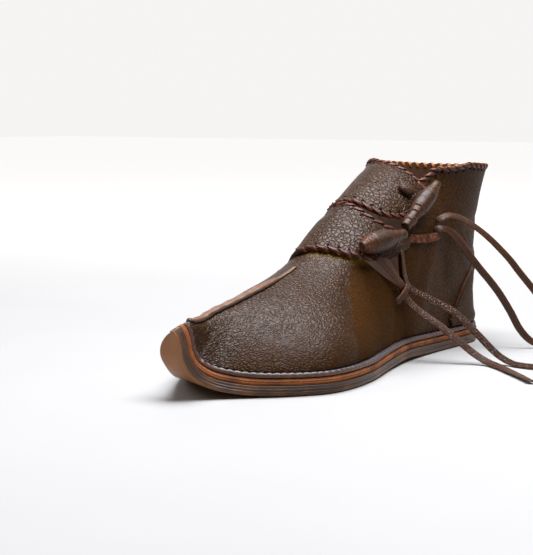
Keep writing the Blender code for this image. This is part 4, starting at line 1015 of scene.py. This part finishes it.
def rolled(start, end, outline):
    """Rings round a rolled strip from end to end, and how far each point sits on the edge of a turn."""
    axis = unit(end - start)
    side = unit(np.cross(axis, [0.0, 0.0, 1.0]))
    angle = np.linspace(0, 2 * math.pi, TOGGLE_SIDES + 1)[:-1]
    spoke = np.outer(np.cos(angle), side) + np.outer(np.sin(angle), np.cross(side, axis))
    share = np.linspace(0, 1, TOGGLE_RINGS)[:, None]
    bulk = ramp(np.minimum(share, 1 - share), 0.0, SLANT_EASE)
    slanted = share + TURN_SLANT * (angle / math.pi - 1.0) * bulk
    radius = read(outline, slanted)
    step = np.abs(read(outline, slanted + RUB_REACH) - read(outline, slanted - RUB_REACH))
    coil = np.array(COIL_RADII)[:, None]
    sunk = COIL_DEPTH * (0.5 + 0.5 * np.cos(2 * math.pi * coil / COIL_PITCH - angle)) ** 3
    share = np.concatenate([sunk, np.broadcast_to(share, radius.shape), 1 - sunk[::-1]])
    coil = np.broadcast_to(coil, sunk.shape)
    radius = np.concatenate([coil, radius, coil[::-1]])
    coil_rub = np.full(sunk.shape, COIL_RUB)
    rub = np.concatenate([coil_rub, np.clip(step / RUB_STEP, 0, TURN_RUB), coil_rub])
    return start + share[..., None] * (end - start) + radius[..., None] * MM * spoke[None], rub, share


# Rolled strap leather: smooth, oiled, dark red-brown, with paler rubbed edges where the turns step down
# and along the cut sides of the strips.
strap_leather, node, place = new_material("rolled_strap_leather", 0.42, Specular_IOR_Level=0.3)
rubbed = node("Attribute", {}, "Fac", attribute_name="rub")
turned = node("Attribute", {}, "Fac", attribute_name="turn")
pebbled = node("Attribute", {}, "Fac", attribute_name="grain")
streak = node("TexNoise", {"Vector": place, "Scale": 1 / (4 * MM), "Detail": 5.0})
turns = node("Math", {0: streak, 1: 6.0}, operation="MULTIPLY")
turns = node("Math", {0: turned, 1: 46.0, 2: turns}, operation="MULTIPLY_ADD")
turns = node("Math", {0: turns}, operation="SINE")
cell = node("TexVoronoi", {"Vector": place, "Scale": 1 / (1.5 * MM)}, feature="DISTANCE_TO_EDGE")
cell = node("MapRange", {"Value": cell, 1: 0.0, 2: 0.2})
fine = node("TexNoise", {"Vector": place, "Scale": 1 / (0.8 * MM), "Detail": 3.0})
pale = node("Mix", {0: fine, 6: "#47220c", 7: "#7c4722"}, data_type="RGBA")
groove = node("MapRange", {"Value": turns, 1: -1.0, 2: -0.88, 3: 0.6, 4: 0.0})
surface(strap_leather, "#1a0e08", [(streak, "#432817"), (rubbed, pale), (groove, "#0d0704")],
        [(streak, 0.45, 0.5), (groove, 0.6, -0.3), (cell, pebbled, 0.5), (fine, 0.3, 0.25)])
for name, (start, end, outline) in TOGGLES.items():
    sections, rub, turn = rolled(MM * np.array(start), MM * np.array(end), outline)
    toggle = loft(name + "_roll", sections, rub=rub, turn=turn, grain=np.zeros(rub.shape))
    toggle.data.materials.append(strap_leather)
    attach(toggle, "root")
    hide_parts(name)

# Torn strap leather: a ragged raw strip, red-orange fibre in the light and nearly black where it was dyed.
torn_leather, node, place = new_material("torn_strap_leather", 0.6, Specular_IOR_Level=0.25)
tear = node("TexNoise", {"Vector": place, "Scale": 1 / (3.0 * MM), "Detail": 5.0})
tear = node("MapRange", {"Value": tear, 1: 0.36, 2: 0.62})
fibre = node("TexNoise", {"Vector": place, "Scale": 1 / (0.9 * MM), "Detail": 3.0})
raw = node("Mix", {0: fibre, 6: "#4a1e0e", 7: "#92501f"}, data_type="RGBA")
surface(torn_leather, "#1d0f09", [(tear, raw)], [(tear, 0.8, 0.8), (fibre, 0.5, 0.3)])

# Thongs: flat strips cut from strap leather, drawn through the flaps and a small leather bridge on the
# outer quarter. Their ends hang down the side and lie out on the floor.
THONG_WIDTH, THONG_THICK, THONG_STEP, THONG_RUB = 4.8 * MM, 1.2 * MM, 1.2 * MM, 0.75
THONGS = {
    # the solids that each replaces, then its route as (forward, outward, up) in millimetres
    "thong_lower_rear": (("thong_strand_rear", "thong_tail_lower_rear"), (
        (123.5, 34.4, 68.4), (122.0, 34.9, 62.0), (121.0, 35.2, 55.0), (118.6, 35.6, 49.2),
        (115.1, 36.0, 45.2), (113.0, 39.6, 42.6), (110.2, 47.3, 38.7), (105.9, 58.8, 32.7),
        (103.7, 64.6, 28.0), (101.6, 70.4, 22.4), (99.4, 76.1, 16.5), (97.3, 81.9, 10.3),
        (95.6, 87.4, 5.4), (95.0, 93.5, 2.4), (97.4, 101.0, 1.9), (98.0, 109.0, 1.9),
        (96.0, 117.0, 1.9))),
    "thong_lower_front": (("thong_strand_front", "thong_tail_lower_front"), (
        (147.0, 31.5, 66.5), (140.0, 34.0, 60.5), (133.0, 35.8, 54.0), (126.5, 36.6, 48.5),
        (123.0, 36.4, 43.0), (120.4, 38.6, 37.2), (117.4, 44.5, 31.3), (114.9, 50.1, 27.1),
        (112.4, 55.7, 23.0), (110.0, 61.3, 18.3), (107.5, 66.9, 13.6), (105.0, 72.4, 8.6),
        (103.4, 78.0, 4.8), (103.6, 84.0, 2.4), (109.6, 94.0, 1.9), (120.6, 107.0, 1.9),
        (130.3, 118.2, 1.9), (142.0, 131.0, 1.9))),
    "thong_upper_rear": (("thong_tail_upper_rear",), (
        (79.0, 33.0, 83.5), (77.0, 36.4, 86.0), (71.6, 38.8, 87.4), (64.0, 42.3, 85.4),
        (58.8, 46.5, 81.6), (53.5, 50.9, 77.0), (48.2, 55.4, 71.4), (42.8, 59.9, 64.8),
        (37.4, 64.4, 57.6), (32.0, 69.0, 49.0), (24.9, 74.9, 38.3), (18.0, 80.8, 27.0),
        (12.0, 86.0, 16.5), (6.0, 91.5, 7.0), (0.0, 97.5, 2.2), (-7.0, 104.0, 1.9))),
    "thong_upper_front": (("thong_tail_upper_front",), (
        (81.5, 33.0, 78.0), (79.4, 36.6, 79.6), (73.2, 39.4, 77.8), (65.9, 43.6, 70.2),
        (60.6, 47.9, 61.1), (55.3, 52.3, 52.6), (50.0, 56.8, 44.7), (44.6, 61.3, 35.8),
        (39.1, 65.9, 24.8), (33.6, 70.5, 12.6), (27.6, 76.0, 4.6), (21.5, 82.5, 2.1), (16.0, 90.0, 1.9),
        (11.5, 98.0, 1.9))),
}
# Which way the broad side faces at the top, a third, two thirds and the end of each thong
THONG_FACING = {
    "thong_lower_rear": ((-0.40, 0.85, 0.10), (0.60, 0.35, 0.70), (0.60, 0.35, 0.70), (0.20, 0.35, 0.92)),
    "thong_lower_front": ((0.40, 0.85, 0.30), (0.60, 0.40, 0.65), (0.55, 0.30, 0.75), (-0.10, 0.30, 0.94)),
    "thong_upper_rear": ((0.50, 0.40, 0.75), (0.60, 0.40, 0.65), (0.65, 0.45, 0.55), (0.35, 0.10, 0.93)),
    "thong_upper_front": ((0.60, 0.50, 0.60), (0.75, 0.50, 0.40), (0.75, 0.50, 0.40), (0.30, -0.20, 0.93)),
}
THONG_GRAIN = {"thong_lower_rear": 1.0, "thong_lower_front": 0.5, "thong_upper_rear": 0.3,
               "thong_upper_front": 0.3}
END_ROUNDING, END_LEAST = 0.45, 0.06
BACK_RUB = 0.2
# Rub of a strip's cut sides, as (share of the width from the middle, rub)
SIDE_RUB = ((0.3, 0.0), (0.4, 0.3), (0.5, 1.0))


def even_route(route, spacing):
    """A smooth curve through a route's points, at even steps."""
    fine = blend(route, np.linspace(0, len(route) - 1, 40 * len(route)))
    run = run_along(fine)
    steps = np.linspace(0, run[-1], round(run[-1] / spacing) + 1)
    return np.stack([np.interp(steps, run, fine[:, k]) for k in range(3)], axis=-1), steps


def strip(name, path, facing, width, thickness, rawness, grain, leather):
    """A flat strip of leather along a path, with its broad side turned to the facing directions. Its cut
    sides carry the given rub, its broad side the given grain, and its ends are rounded off."""
    ahead = unit(np.gradient(path, axis=0))
    broad = unit(np.cross(ahead, facing))
    face = np.cross(broad, ahead)
    run = run_along(path)
    tip = np.clip(np.minimum(run, run[-1] - run) / (END_ROUNDING * width), END_LEAST, 1.0)
    full = np.sqrt(1 - (1 - tip) ** 2)
    across, through = STRIP_SECTION.T
    wide, thick = np.outer(width * full, across), np.outer(thickness * (0.5 + 0.5 * full), through)
    sections = path[:, None] + broad[:, None] * wide[..., None] + face[:, None] * thick[..., None]
    rub = rawness * read(SIDE_RUB, np.abs(across)) + BACK_RUB * (through < 0)
    piece = loft(name, sections, rub=np.broadcast_to(rub, sections.shape[:2]),
                 grain=np.full(sections.shape[:2], grain), turn=np.zeros(sections.shape[:2]))
    piece.data.materials.append(leather)
    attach(piece, "root")
    return piece


for name, (nodes, route) in THONGS.items():
    path, steps = even_route(MM * np.array(route), THONG_STEP)
    facing = blend(np.array(THONG_FACING[name]), np.linspace(0, 3, len(path)))
    thong = strip(name, path, facing, THONG_WIDTH, THONG_THICK, THONG_RUB, THONG_GRAIN[name], strap_leather)
    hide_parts(*nodes)
    line = placed(path)

# Fastening ends: the folded tab and the small red tab beside the upper toggle, the raw tongue of the lower
# flap under the toggles, the bridge that holds the thongs to the quarter, and the quarter's cut rim.
STRAP_GRAIN = 0.4
STRAPS = {
    # route as (row, share across, height in millimetres), width, thickness, rub of the cut sides, leather
    "thong_bridge": (((8.68, 0.645, 1.1), (8.58, 0.655, 3.0), (8.42, 0.672, 4.8), (8.24, 0.695, 4.8),
                      (8.09, 0.720, 3.1), (8.00, 0.735, 1.1)), 4.6, 1.5, 0.9, strap_leather),
    "flap_tongue": (((9.66, 0.425, 1.3), (9.95, 0.452, 1.5), (10.45, 0.480, 1.5), (11.00, 0.495, 1.4)),
                    5.2, 1.8, 1.0, torn_leather),
    "folded_tab": (((11.14, 0.165, 4.8), (11.18, 0.200, 5.6), (11.22, 0.240, 4.8)),
                   6.8, 3.4, 0.4, strap_leather),
    "red_tab": (((13.20, 0.195, 0.9), (13.30, 0.225, 1.6), (13.40, 0.255, 1.4)),
                4.4, 1.4, 0.6, torn_leather),
    "quarter_rim": (((9.42, 0.435, 0.5), (9.20, 0.475, 0.7), (8.97, 0.530, 0.7), (8.78, 0.595, 0.6),
                     (8.64, 0.640, 0.4)), 3.2, 1.2, 0.35, cowhide),
}
for name, (route, width, thickness, rawness, leather) in STRAPS.items():
    row, across, height = blend(np.array(route), np.linspace(0, len(route) - 1, 12 * len(route))).T
    piece = strip(name, lifted(row, across, height * MM), last_normal(row, across), width * MM,
                  thickness * MM, rawness, STRAP_GRAIN, leather)
    if name not in ("red_tab", "quarter_rim"):
        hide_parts(name)

# Stage: a white floor that runs back out of sight under soft studio light, and the camera at the
# photograph's angle.
CAMERA_PLACE = (-0.7305, -0.4737, 0.152)
CAMERA_AHEAD = (0.8037, 0.5840, -0.1139)
SENSOR_WIDTH, LENS = 36.0, 97.46
FLOOR_SIZE = 12.0
bpy.ops.object.select_all(action="DESELECT")
bpy.ops.mesh.primitive_plane_add(size=FLOOR_SIZE)
floor = bpy.context.object
floor.name = "studio_floor"

# Pale floor card: matt and nearly white, washed with light towards the back so that its end isn't seen.
material, node, place = new_material("pale_floor_card", 0.7, Specular_IOR_Level=0.2,
                                     Emission_Color=linear("#fdfdfd"))
mottle = node("TexNoise", {"Vector": place, "Scale": 9.0, "Detail": 3.0})
away = node("VectorMath", {0: place, 1: CAMERA_AHEAD}, operation="DOT_PRODUCT")
wash = node("MapRange", {"Value": away, 1: 0.10, 2: 1.30, 3: 0.0, 4: 0.86}, interpolation_type="SMOOTHSTEP")
surface(material, "#a2a3a3", [(mottle, "#a7a8a8")], Emission_Strength=wash)
floor.data.materials.append(material)
world = bpy.data.worlds.new("soft_studio")
bpy.context.scene.world = world
world.use_nodes = True
background = world.node_tree.nodes["Background"].inputs
looking = add_node(world, "TexCoord", {}, "Generated")
upward = add_node(world, "SeparateXYZ", {0: looking}, "Z")
behind = add_node(world, "VectorMath", {0: looking, 1: CAMERA_AHEAD}, operation="DOT_PRODUCT")
card = add_node(world, "MapRange", {"Value": behind, 1: 0.2, 2: 0.75, 3: 0.17, 4: 0.95})
glow = add_node(world, "MapRange", {"Value": upward, 1: 0.25, 2: 0.70, 3: card, 4: 0.13})
world.node_tree.links.new(glow, background["Strength"])
ahead = add_node(world, "MapRange", {"Value": behind, 1: 0.2, 2: 0.75})
tint = add_node(world, "Mix", {0: ahead, 6: "#ffe0bd", 7: "#fbfaf8"}, data_type="RGBA")
world.node_tree.links.new(tint, background["Color"])
LAMP_WHITE = "#fbfbff"
SOFT_BOXES = (
    # name, place, aim, width, length, watts
    ("overhead", (0.06, -0.17, 1.12), (0.06, -0.16, 0.0), 0.64, 1.24, 41.0),
    ("front_left", (-0.70, 0.95, 0.95), (-0.05, 0.0, 0.05), 0.6, 0.6, 4.0),
)
for name, place, aim, width, length, watts in SOFT_BOXES:
    light = bpy.data.lights.new(name, "AREA")
    light.shape = "RECTANGLE"
    light.size = width
    light.size_y = length
    light.energy = watts
    light.color = linear(LAMP_WHITE)[:3]
    lamp = bpy.data.objects.new(name, light)
    lamp.location = place
    lamp.rotation_euler = (Vector(aim) - Vector(place)).to_track_quat("-Z", "Y").to_euler()
    bpy.context.scene.collection.objects.link(lamp)
bpy.context.scene.view_settings.view_transform = "Standard"
camera = bpy.data.objects.new("camera", bpy.data.cameras.new("camera"))
camera.data.sensor_fit = "HORIZONTAL"
camera.data.sensor_width = SENSOR_WIDTH
camera.data.lens = LENS
camera.data.clip_start = 0.05
camera.location = CAMERA_PLACE
camera.rotation_euler = Vector(CAMERA_AHEAD).to_track_quat("-Z", "Y").to_euler()
bpy.context.scene.collection.objects.link(camera)
bpy.context.scene.camera = camera
